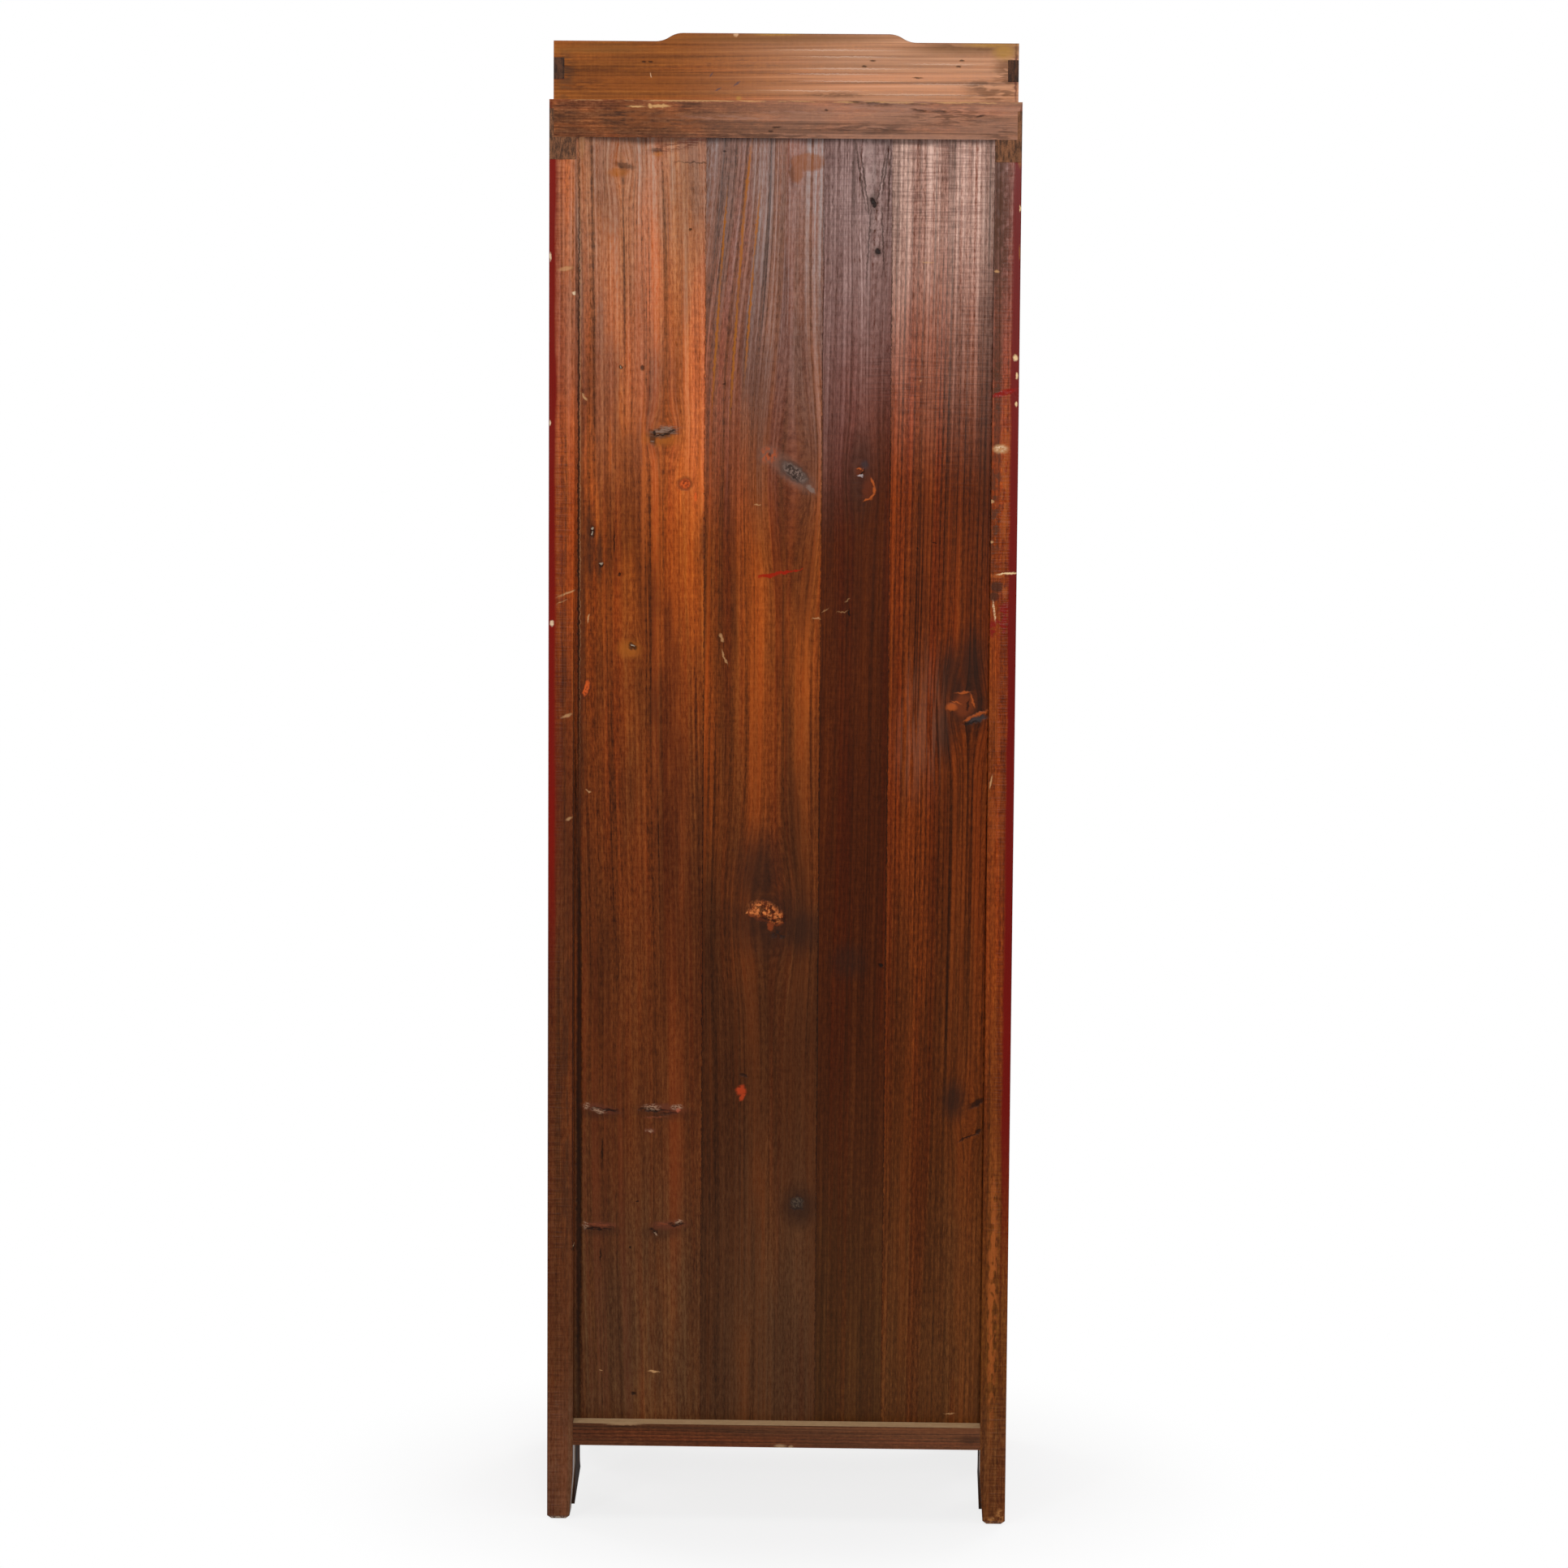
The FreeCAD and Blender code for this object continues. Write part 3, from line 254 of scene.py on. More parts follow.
def glaze(f, surface, tint, share, blend="MIX"):
    # a tint over the colour that the surface has so far
    surface["colour"] = f.mix(surface["colour"], tint, share, blend)


def addMarks(f, surface, place, marks, seed, ragged=0.0022):
    # ragged: how far, in metres, the outlines wander
    jitter = f.node("TexNoise", {}, {"Vector": place, "Scale": 190.0 + seed, "Detail": 2.0}, output=1)
    shift = f.node("VectorMath", {"operation": "SUBTRACT"}, {0: jitter, 1: (0.5, 0.5, 0.5)})
    spread = {0: shift, 1: (ragged * 2, ragged * 3, 0.0), 2: place}
    rugged = f.node("VectorMath", {"operation": "MULTIPLY_ADD"}, spread)
    for group in marks:
        mask = None
        for spot in group["spots"]:
            x, z, width, length = (part * mm for part in spot[:4])
            turn = spot[4] if len(spot) > 4 else 0.0
            one = f.spot(rugged, (x, z), (width, length), group["soft"], turn)
            mask = one if mask is None else mask.most(one)
        if "streaks" in group:
            grit = f.noise(place, group["streaks"], 2.0, 0.6, seed + 2)
            mask = mask * grit.rise(0.42, 0.56)
        glaze(f, surface, group["tint"], mask * group["strength"])
        if "depth" in group:
            surface["height"] = surface["height"] + mask * group["depth"]
        if "rough" in group:
            surface["rough"] = surface["rough"] + mask * group["rough"]
    return surface


def blendSurfaces(f, first, second, share):
    rough = first["rough"] + (second["rough"] - first["rough"]) * share
    height = first["height"] + (second["height"] - first["height"]) * share
    return {"colour": f.mix(first["colour"], second["colour"], share), "rough": rough, "height": height}


# Red lacquer on its fir ground, worn at the edges

lacquer = {
    "deep": tone(82, 14, 9), "bright": tone(124, 25, 13), "smoke": tone(44, 12, 8),
    "ground": tone(104, 58, 36), "bare": tone(178, 128, 84),
    "cloud": (5.0, 2.2, 5.0), "brush": (240.0, 5.0, 240.0), "brushShare": 0.35,
    "grime": (14, 6, 14), "grimeShare": 0.45, "rough": 0.27, "edge": 0.0028,
    "rub": (55, 16, 55), "knocks": (24, 11, 24), "knockShare": 0.8, "chipShare": 0.7,
}


def lacquerCoat(f, place, seed):
    # clouds of a brighter and a deeper red, brush marks, and old grime in patches
    cloud = f.noise(place, lacquer["cloud"], 3.0, 0.6, seed)
    brush = f.noise(place, lacquer["brush"], 2.0, 0.6, seed + 4)
    colour = f.mix(lacquer["deep"], lacquer["bright"], cloud.rise(0.3, 0.72))
    colour = f.mix(colour, lacquer["smoke"], brush.rise(0.5, 0.75) * lacquer["brushShare"])
    grime = f.noise(place, lacquer["grime"], 4.0, 0.65, seed + 8).rise(0.52, 0.7)
    colour = f.mix(colour, lacquer["smoke"], grime * lacquer["grimeShare"])
    rough = lacquer["rough"] + grime * 0.18 + (brush - 0.5) * 0.12
    height = brush * 0.35 + cloud * 0.6
    return {"colour": colour, "rough": rough, "height": height}


edgeLook = {"samples": 4, "rise": (0.015, 0.22)}


def edgeWear(f, radius, most=1.0):
    # how near an edge the point is, from the rounded normal against the true one
    rounded = f.node("Bevel", {"samples": edgeLook["samples"]}, {"Radius": radius})
    flat = f.node("NewGeometry", output=3)
    level = f.node("VectorMath", {"operation": "DOT_PRODUCT"}, {0: rounded, 1: flat}, output=1)
    return (1.0 - level).rise(*edgeLook["rise"], 0.0, most), rounded


def wornLacquer(f, place, seed, radius=lacquer["edge"], wear=1.0):
    # the coat, rubbed through at the edges and knocked off here and there
    surface = lacquerCoat(f, place, seed)
    worn, rounded = edgeWear(f, radius, wear)
    rub = f.noise(place, lacquer["rub"], 4.0, 0.7, seed + 12)
    through = (worn * 0.62 + (rub - 0.5) * 1.5).rise(0.22, 0.4)
    knocks = f.noise(place, lacquer["knocks"], 3.0, 0.75, seed + 15).rise(0.71, 0.74)
    through = through.most(knocks * lacquer["knockShare"])
    glaze(f, surface, lacquer["ground"], through)
    chipped = (worn * 0.6 + (rub - 0.5) * 1.6).rise(0.42, 0.55) * lacquer["chipShare"]
    glaze(f, surface, lacquer["bare"], chipped)
    surface["rough"] = surface["rough"] + through * 0.3
    surface["height"] = surface["height"] - through * 0.5
    return surface, rounded


# Bare fir where the cupboard was never stained or lacquered

insideFir = {
    "tones": (tone(120, 84, 52), tone(158, 118, 76), tone(188, 150, 104)),
    "rust": tone(176, 116, 64), "rustShare": 0.3, "rough": 0.62, "bands": 0.6, "rings": 0.3,
    "spacing": 0.006, "pith": 0.03, "heart": 0.36, "lines": 0.8, "patches": 0.22, "dark": 0.3, "glow": 0.3,
    "red": 0.2, "dust": tone(112, 92, 72), "shadow": tone(120, 78, 50),
}


def looking(f, axis, sign):
    # 1 on the faces that look along an axis, or against it
    return (facing(f)[axis] * sign).rise(0.6, 0.8)


def bareBoard(name, along, seed, front=None):
    # bare boards inside; front: the direction whose face is lacquered, as on the drawer
    f = Finish(name)
    place = boardPlace(f, along)[0]
    surface = firGrain(f, place, {**insideFir, "seed": seed})
    dust = f.noise(place, (9, 4, 9), 4.0, 0.6, seed + 2).rise(0.5, 0.75) * 0.4
    glaze(f, surface, insideFir["dust"], dust)
    if front:
        face = looking(f, *front)
        coat, rounded = wornLacquer(f, place, seed)
        surface = blendSurfaces(f, surface, coat, face)
        return f.close(surface, relief=0.0004, gloss=0.15, normal=rounded)
    return f.close(surface, relief=0.0005, gloss=0.25)


def lacquered(name, along, seed, bare=None):
    # bare: (axis, sign) of the face that was never lacquered, the one inside the cupboard
    f = Finish(name)
    place = boardPlace(f, along)[0]
    surface, rounded = wornLacquer(f, place, seed)
    if bare:
        wood = firGrain(f, place, {**insideFir, "seed": seed + 31})
        glaze(f, wood, insideFir["shadow"], 0.5, "MULTIPLY")
        surface = blendSurfaces(f, surface, wood, looking(f, *bare))
    return f.close(surface, relief=0.0004, gloss=0.15, normal=rounded)


# The stained back: four boards, posts, rails and the crest

stain = {
    # the pale veil high up, painted sheen with bloom on the old wax, and the painted shade under the top rail
    "rise": (1.24, 1.84), "drop": (-0.04, -0.14, 0.05, -0.03), "share": (-0.03, -0.065, 0.37, 0.6),
    "dim": (0.8, 0.9, 0.9, 1.0), "amber": (1.0, 1.2, 1.0, 1.0), "warmSide": (0.07, 0.13), "warmShare": 0.36,
    "cloud": (9, 3.0, 9), "wander": 0.35, "fibre": 2.4, "fine": 3.0, "tinge": (1.4, 1.65), "corner": (1.7, 1.7085),
    "railShadeTint": (0.3, 0.28, 0.28, 1.0),
}


def stained(f, surface, place, axes, setup):
    # shades: tints that multiply the wood, each with the heights where it starts and is full; they darken the wood
    # low down, partly as stain and partly as painted fall-off of the light, and lighten it high up as painted light
    # veil: the strength and tint of the pale veil of painted sheen and wax bloom, and how much it follows the grain
    x, z = axes[0], axes[2]
    cloud = f.noise(place, stain["cloud"], 3.0, 0.6, 41.0)
    height = z + (cloud - 0.5) * stain["wander"]
    for tint, start, end in setup["shades"]:
        glaze(f, surface, tint, height.rise(start, end), "MULTIPLY")
    strength, pale, streaky = setup["veil"]
    warm = x.rise(*stain["warmSide"])
    high = (z + x.rise(*stain["drop"])).rise(*stain["rise"])
    reach = high * x.rise(*stain["share"]) * (1.0 - warm * stain["warmShare"])
    grit = 1.0 + (surface["fibre"] - 0.5) * stain["fibre"] + (surface["fine"] - 0.5) * stain["fine"]
    streak = 1.0 + (surface["streak"] - 1.0) * streaky
    share = reach * streak * grit * cloud.rise(0.3, 0.65, 0.7 * strength, 1.25 * strength)
    tinge = f.mix(stain["dim"], stain["amber"], warm)
    glaze(f, surface, tinge, z.rise(*stain["tinge"]), "MULTIPLY")
    # the pale veil: painted sheen, strongest high up towards -x, with bloom on the old wax
    glaze(f, surface, pale, share)
    # painted shade in the corner under the top rail
    railShade = (z + (cloud - 0.5) * 0.02).rise(*stain["corner"])
    glaze(f, surface, stain["railShadeTint"], railShade, "MULTIPLY")
    return surface


# up and aside: where the saw's marks show most on the boards, high up and left of the middle from behind
saw = {
    "spread": (30, 400, 30), "relief": 1.6, "tint": (0.6, 0.55, 0.55, 1.0), "shade": 0.6,
    "up": (1.15, 1.6), "aside": (0.02, -0.16), "least": 0.12,
}


def sawn(f, surface, place, share, seed):
    # ridges across the grain, left by the saw
    ridge = f.noise(place, saw["spread"], 1.0, 0.5, seed + 51)
    surface["height"] = surface["height"] + (ridge - 0.5) * share * saw["relief"]
    shade = ridge.rise(0.44, 0.62) * share * saw["shade"]
    glaze(f, surface, saw["tint"], shade, "MULTIPLY")
    return surface


# near black and dark brown, for gaps, cracks, holes and dark stains, and for the post's painted shadow on board 4
nearBlack, darkBrown = tone(24, 15, 11), tone(44, 26, 18)
tan, haze = tone(196, 148, 100), tone(160, 118, 100)


def mark(tint, strength, *spots, **more):
    # one tint in several ovals, each (across, along, half width, half length, turn), in mm and degrees
    # more: how soft its edge is, its depth and roughness, and the noise that breaks it into streaks
    return {"tint": tint, "strength": strength, "spots": spots, "soft": 0.5, **more}


backBoards = {
    "back_board_4": {
        "wood": {
            "seed": 4.1, "heart": 0.52, "pith": 0.05, "lean": 0.01, "spacing": 0.0052, "sway": 0.012,
            "tones": (tone(68, 29, 8), tone(150, 70, 20), tone(198, 106, 36)), "rust": tone(190, 76, 24),
            "rustShare": 0.4, "bands": 0.75, "calm": (0.3, 1.0, 0.35),
            "knots": ((0.1456, 1.3538, 0.015, 1.5), (0.1822, 1.0897, 0.008, 2.5), (0.1971, 1.675, 0.012, 2.0)),
        },
        "shades": (((0.37, 0.44, 0.84, 1.0), 1.33, 0.86), ((0.68, 1.06, 1.8, 1.0), 0.6, 0.2),
            ((1.2, 1.26, 1.38, 1.0), 1.2, 1.36)),
        "veil": (1.16, tone(176, 154, 140), 1.0),
        "marks": (
            # gaps beside the board and fine cracks, and the post's painted shadow, wider low down, along the edge
            # beside it
            mark(nearBlack, 0.8, (249.2, 1300, 1.1, 420), (95.5, 900, 0.6, 850), (247.5, 500, 3.5, 400),
                 (218.8, 463, 0.9, 15), (220.4, 331, 0.9, 9), (205.4, 1220.8, 1, 14), depth=-2.0),
            # darker along its edges; the band beside the post is more of the post's painted shadow
            mark(darkBrown, 0.62, (246.2, 1130, 5.5, 200), (95.5, 1222, 5, 35), soft=0.6),
            # bare lines on its edge
            mark(tone(168, 122, 84), 0.5, (247.4, 1350, 0.7, 360), (245.8, 1700, 3.2, 17)),
            # amber streaks
            mark(tone(204, 104, 44), 0.42, (170, 1290, 2.2, 100), (102, 1290, 1.7, 70), (211, 1335, 1.6, 30),
                 soft=0.8),
            mark(tone(150, 66, 26), 0.22, (127.5, 460, 8, 120), soft=0.9),
            # the covered knot at the top, and dirt under the rail
            mark(haze, 0.22, (110.8, 1696.1, 20, 19), soft=0.12),
            mark(tone(92, 44, 30), 0.75, (129, 1700.5, 34, 5.2, -10), (112, 1705.5, 20, 4, -12), soft=0.6,
                 streaks=(90, 420, 60)),
            # small knots: dark, then their amber sides
            mark(darkBrown, 0.6, (193.7, 1675.8, 12.5, 3.6, 12), (154.6, 1694.5, 6.5, 2.8), (109.4, 1680, 24, 0.7, 3),
                 (235.2, 1220, 6, 50), (224, 1200, 4, 30)),
            mark(tone(164, 92, 30), 0.6, (202, 1667.5, 12.5, 5), (154.6, 1689.5, 6, 3), (187, 1089, 13, 10),
                 (148, 1347, 20, 8), soft=0.6),
            # the knot at 1353: dark rim, dry grey heart, cracks
            mark(darkBrown, 0.75, (146, 1353.5, 17.5, 6.2, -10), (159.5, 1347.5, 3.6, 9.5, -12), soft=0.4, depth=-1.5),
            mark(tone(140, 112, 96), 0.9, (143.5, 1356, 16, 5.8, -10), (160, 1343, 2.2, 3), depth=1.6, rough=0.25,
                 streaks=(90, 520, 60)),
            mark(nearBlack, 0.85, (157.5, 1353.5, 2.2, 2.8), (146, 1351.5, 12, 1.1, -12), (135, 1356.5, 5, 1.1, -20),
                 depth=-2.0),
            # two chips: dark rim, fresh wood, shade inside
            mark(tone(74, 34, 18), 0.9, (119.5, 1292, 8.8, 8.2), (239.5, 1040, 5, 12, 14), soft=0.35, depth=-0.8),
            mark(tone(206, 88, 34), 0.9, (119.5, 1292, 6.2, 6.4), (239.5, 1040, 3.2, 9.5, 14),
                 (106.6, 1275.2, 1.4, 5.5), soft=0.35, depth=0.6),
            mark(tone(110, 44, 22), 0.85, (119.5, 1292, 5.8, 6), (239.2, 1037, 1.4, 5, 14), depth=-0.6,
                 streaks=(420, 300, 60)),
            # beetle holes, and their pale lower rims
            mark(nearBlack, 0.8, (114.2, 1599.5, 1.8, 2), (197.3, 1433, 2.2, 1.8), (171.6, 1432.4, 2.6, 3),
                 (232.4, 1232.4, 2.8, 6.8), (221.2, 1191.8, 3, 3.2), (199.4, 1180.1, 1.5, 2),
                 (182.6, 1092.2, 5.5, 3.8, 20), (175.2, 400, 1.4, 1.4), (183.1, 341.4, 1.3, 1.3),
                 (178.8, 155.7, 2.4, 2.4), soft=0.4, depth=-3.0),
            mark(tone(168, 150, 130), 0.85, (232.2, 1235.6, 1.7, 1.8), (232.6, 1230.2, 1.3, 1.3),
                 (221.6, 1193.5, 2.2, 1.6), (182.6, 1093.5, 3, 1), (197.3, 1433.2, 0.9, 0.8), soft=0.4, depth=1.2),
            # the gashes at 515 and 367: soot, torn wood, the cut itself, pale splinters with painted highlights on
            # their edges
            mark(darkBrown, 0.45, (223, 511, 26, 7), (143, 512, 30, 8, 4), (222, 362, 22, 6), (143, 362, 24, 9, -6),
                 soft=0.8, depth=-1.0),
            mark(tone(98, 50, 34), 0.7, (222, 516.5, 20, 4.8, 9), (142, 517.5, 24, 5, 4), (222, 369, 19, 3.6),
                 (136, 370.5, 20, 5, -4), (159.5, 489, 6, 3), soft=0.6, depth=0.8, rough=0.2),
            mark(nearBlack, 0.85, (216, 515, 17, 2.6, 5), (150, 514.5, 22, 2.8, 6), (224.5, 365.5, 17, 2.2),
                 (126.5, 371.5, 10, 2.4, -6), (154.5, 362.5, 5.5, 2.4, 42), depth=-3.0, streaks=(140, 420, 60)),
            mark(tone(172, 136, 110), 0.75, (223.5, 513.8, 7.5, 2.8, 10), (238.5, 519.5, 3, 3.2),
                 (157.5, 519, 9, 3.4, 5), (126.5, 519.5, 6, 2.6), (239.5, 369.5, 3.2, 4),
                 (123.5, 374.5, 4, 2.2, -10), (160.5, 489, 4, 1.6), (152.5, 359.5, 3, 1.1, 42), soft=0.7, depth=1.8,
                 rough=0.2, streaks=(240, 560, 60)),
            mark(tone(176, 90, 66), 0.65, (124.5, 516, 2.4, 2.6), depth=1.2),
            mark(tone(126, 64, 38), 0.6, (222, 369.5, 15.5, 1.6, 2), (140.5, 372, 11, 1.4, -3),
                 (152, 506.5, 13, 1.3, -4), soft=0.6, depth=1.0, streaks=(120, 300, 60)),
            # nicks
            mark(tan, 0.75, (242.3, 1396.5, 1.2, 4.5, -38), (236.9, 1126.1, 0.9, 5, 16), (236.4, 913.2, 3, 0.9, 20),
                 (153.7, 183.8, 6.5, 1.2, 6), (219.5, 184.5, 2, 0.8)),
        ),
    },
    "back_board_3": {
        "wood": {
            "seed": 9.7, "heart": -0.42, "pith": 0.06, "spacing": 0.0065, "sway": 0.012,
            "slant": (0.0265, (1.38, 1.74), (-0.02, 0.05)),
            "tones": (tone(54, 24, 7), tone(118, 56, 18), tone(160, 84, 32)), "rust": tone(164, 70, 18),
            "rustShare": 0.4, "calm": (0.3, 1.0, 0.3),
            "knots": ((-0.0098, 1.3057, 0.03, 3.4), (0.0162, 0.7646, 0.03, 2.4), (-0.0264, 0.3945, 0.012, 2.5)),
        },
        "shades": (((0.33, 0.42, 0.76, 1.0), 1.16, 0.64), ((0.96, 1.28, 1.8, 1.0), 0.6, 0.2),
            ((1.02, 1.14, 1.3, 1.0), 1.26, 1.42)),
        "veil": (1.12, tone(162, 147, 145), 1.0),
        "marks": (
            # the gap beside the board
            mark(nearBlack, 0.7, (-47.2, 900, 0.9, 850), depth=-2.0),
            # the branch scar at the top
            mark(tone(136, 76, 36), 0.62, (-26.8, 1681.5, 20.5, 10.8), (-13, 1668, 8.5, 11), soft=0.2),
            mark(tone(70, 40, 30), 0.5, (-7.5, 1668, 3, 20, -6), soft=0.6),
            # dark stain round the knots
            mark(darkBrown, 0.72, (13, 755, 45, 40), (28, 815, 28, 45), (-22, 745, 28, 28), (-26.4, 395, 20, 22),
                 soft=0.75),
            # the slanting knot at 1308: halo, rim, grey heart
            mark(tone(118, 84, 70), 0.6, (-10, 1308, 34, 12, 40), (18, 1328, 12, 10)),
            mark(tone(48, 32, 26), 0.8, (-13.5, 1307, 20.5, 9.8, 36), soft=0.3, depth=-1.5),
            mark(tone(124, 102, 92), 0.85, (-13.5, 1307, 17, 7.2, 36), (-33.5, 1286.5, 7, 2.8, 44), soft=0.35,
                 depth=1.2, rough=0.2),
            # the round knot at 400
            mark(tone(82, 68, 56), 0.8, (-23.2, 400.4, 7.5, 6.5), soft=0.35, depth=1.2, rough=0.2),
            # cracks in the knots
            mark(tone(40, 28, 24), 0.8, (-13.5, 1307, 15, 6.2, 36), (-23.2, 400.4, 9, 8), (1.2, 737.6, 10, 5),
                 depth=-1.6, streaks=(330, 260, 60)),
            mark(tone(40, 28, 24), 0.75, (-12, 1301.5, 10, 1.1, 36), (-8, 1313.5, 2.5, 2.2), (-23.2, 393.5, 8, 1.4),
                 depth=-1.6),
            # amber wood beside the slanting knot
            mark(tone(176, 78, 34), 0.7, (18, 1327.5, 9.5, 8.5), streaks=(260, 120, 60)),
            # the red chip at 541
            mark(tone(168, 58, 26), 0.9, (47.1, 541.5, 5.8, 6.2, 20), (45.5, 533, 2.8, 5.5, 30), soft=0.4),
            mark(nearBlack, 0.6, (16.5, 1327.5, 1.8, 3), (49, 546, 2, 1.2, 40), soft=0.4),
            # the torn knot at 766: red wood, fresh fibres, shadow
            mark(tone(124, 54, 24), 0.92, (20.5, 766.5, 16, 11.5, 8), (4, 758, 10, 9), (34, 764.5, 6, 6),
                 (12, 749, 4, 7), soft=0.3, depth=0.8, rough=0.2),
            mark(tone(214, 124, 66), 0.85, (20.5, 767.5, 16, 9, 8), (5, 759, 8, 7), (36, 764, 7, 1.2), depth=1.4,
                 streaks=(420, 150, 60)),
            mark(tone(50, 22, 12), 0.85, (18, 765.5, 18, 11.5, 8), (3, 757, 11, 9), depth=-1.8,
                 streaks=(200, 260, 60)),
            # holes and cracks
            mark(nearBlack, 0.7, (73.5, 1693.4, 2.2, 1.8), (72.9, 1413.5, 1.6, 1.3), (44, 561, 5, 1.4, 24),
                 (-4.5, 758.5, 2, 6), (12, 755.5, 12, 1.3, 10), depth=-2.0),
            # amber streaks that lean with the grain
            mark(tone(158, 92, 30), 0.85, (45.5, 1660, 1.7, 40, 6), (52.5, 1575, 1.6, 55, 4),
                 (60, 1460, 1.5, 75, 3.5), (34.5, 1600, 1.3, 40, 5), (42, 1500, 1.3, 70, 4), (74, 1590, 1.3, 50, 4),
                 (82, 1470, 1.5, 75, 3.5), soft=0.6, depth=0.4),
            # the smear of red at 1184
            mark(tone(152, 30, 10), 0.92, (17.5, 1180.5, 12, 2.6, -9), (1.5, 1184, 15, 1.7, -10),
                 (-16, 1187.2, 10, 0.9, -11), soft=0.3, rough=-0.1),
            # nicks
            mark(tan, 0.6, (73.8, 1103.5, 1.8, 5, -22), (70.5, 1080, 0.9, 9, -22), (31.5, 1266.5, 3.5, 0.8),
                 (-41.5, 1128.5, 4.5, 1, 6)),
        ),
    },
    "back_board_2": {
        "wood": {
            "seed": 15.3, "heart": -0.36, "pith": 0.05, "spacing": 0.0048, "sway": 0.006,
            "tones": (tone(38, 15, 3), tone(70, 28, 7), tone(100, 45, 13)), "rust": tone(90, 36, 8),
            "rustShare": 0.3, "bands": 0.4, "lines": 0.8, "fibre": 0.8, "patches": 0.3, "dark": 0.35, "glow": 0.2,
            "calm": (0.3, 1.0, 0.6), "knots": ((-0.1055, 1.6362, 0.016, 4.5), (-0.0937, 1.3074, 0.014, 3.0)),
        },
        "shades": (((0.9, 1.3, 2.0, 1.0), 0.85, 0.3), ((1.1, 1.4, 1.55, 1.0), 0.5, 0.2),
            ((1.4, 1.1, 0.95, 1.0), 1.26, 1.42)),
        "veil": (1.0, tone(184, 154, 148), 0.8),
        "marks": (
            # pale and dark lines bowed round the knots at the top
            mark(tone(186, 158, 150), 0.4, (-103, 1668, 7.5, 36, -5), (-112, 1605, 7, 30), (-118, 1660, 3, 45, 8),
                 soft=0.8, streaks=(260, 90, 60)),
            mark(darkBrown, 0.7, (-90.5, 1668, 1.1, 42, -9), (-96.5, 1655, 0.9, 46, -8), (-121.5, 1675, 1.1, 36, 8),
                 (-116.5, 1665, 0.9, 34, 10), (-118.5, 1590, 0.9, 40, -3), (-101.5, 1585, 0.9, 45, 3),
                 (-126, 1660, 1, 45, 2), soft=0.6, depth=-1.0),
            # dark stain round the knots
            mark(darkBrown, 0.5, (-112.9, 1574.8, 5.5, 5.5), (-106.5, 1636.5, 6, 9, 20), (-96, 1320, 10, 30),
                 (-93, 1300, 18, 50), (-84, 704, 20, 20), (-83, 1660, 2, 50), soft=0.7),
            # the knot at 1300: red wood, amber crescents, a pale fleck that is a painted highlight, painted shade
            # above it
            mark(tone(98, 42, 20), 0.7, (-103.5, 1287.5, 6.2, 13.5, 6), (-92.5, 1308.5, 5, 5.5)),
            mark(tone(182, 88, 36), 0.75, (-109.4, 1294.7, 1.2, 5.8, -24), (-110.9, 1285.7, 1.8, 5.6, 6),
                 (-108.3, 1278.2, 1.6, 4.6, 36), (-102.5, 1274.1, 1.3, 4.6, 73), (-91.8, 1311.8, 3.2, 1.1, 10),
                 (-96.8, 1308.5, 0.9, 3, 8), depth=0.8),
            # painted highlight on the knot
            mark(tone(186, 170, 168), 0.8, (-93.5, 1303.6, 3, 1.3, 8), depth=0.8),
            # painted shade above the knot
            mark(tone(56, 48, 52), 0.6, (-98.5, 1316.5, 4.5, 5), soft=0.6),
            # open holes in the knots
            mark(nearBlack, 0.92, (-112.9, 1574.8, 3.4, 3.6), (-106.5, 1634.3, 2.2, 5.8, -32), (-108.5, 1629, 2.2, 2.2),
                 (-96.5, 1307.5, 1.1, 3.5, 30), (-81.5, 1135.5, 0.8, 4), (-124, 700.5, 3, 2), soft=0.4, depth=-3.5),
            # nicks
            mark(tan, 0.32, (-52, 1138.5, 5, 0.9, -35), (-74, 1137, 6, 0.6, -5), (-79.5, 1151, 3.5, 0.7, -40),
                 soft=0.6),
        ),
    },
    "back_board_1": {
        "wood": {
            "seed": 21.9, "heart": -0.62, "pith": 0.05, "lean": 0.0, "spacing": 0.0053, "sway": 0.007,
            "wobble": 0.0012, "tones": (tone(48, 18, 4), tone(97, 40, 9), tone(142, 64, 19)),
            "rust": tone(134, 52, 12), "rustShare": 0.35, "bands": 0.45, "rings": 0.45, "lines": 0.95,
            "patches": 0.45, "calm": (0.3, 1.0, 0.35),
            "knots": ((-0.2301, 1.0228, 0.024, 1.8), (-0.235, 0.508, 0.014, 2.0)),
        },
        "shades": (((0.7, 1.0, 1.55, 1.0), 1.1, 0.42), ((1.0, 1.3, 1.75, 1.0), 0.55, 0.2),
            ((1.2, 1.26, 1.35, 1.0), 1.26, 1.42)),
        "veil": (1.1, tone(222, 184, 168), 0.6),
        "marks": (
            # gaps beside the board
            mark(nearBlack, 0.75, (-129.5, 900, 0.8, 850), (-253.8, 900, 1.4, 850), depth=-2.0),
            # darker along its edges
            mark(darkBrown, 0.4, (-252.5, 1450, 14, 320), (-136.5, 1620, 3, 100), (-200, 1690, 6, 40), soft=0.8),
            # dark stain round the knots
            mark(darkBrown, 0.78, (-224, 1022, 28, 24), (-205, 1062, 13, 36, 6), (-232, 1070, 16, 40),
                 (-199, 992, 12, 32), (-213, 1040, 12, 30), (-215.5, 532, 13, 22), soft=0.75),
            # painted sheen: a pale patch beside the knot
            mark(tone(176, 112, 84), 0.2, (-180, 1005, 16, 70), (-163, 975, 20, 50), (-158, 1030, 6, 40), soft=0.9,
                 streaks=(230, 9, 60)),
            # the knot at 1022: red heart, amber crescents, grey side
            mark(tone(112, 50, 22), 0.8, (-223, 1023.5, 12.5, 14.5), soft=0.4, depth=0.5, rough=0.12),
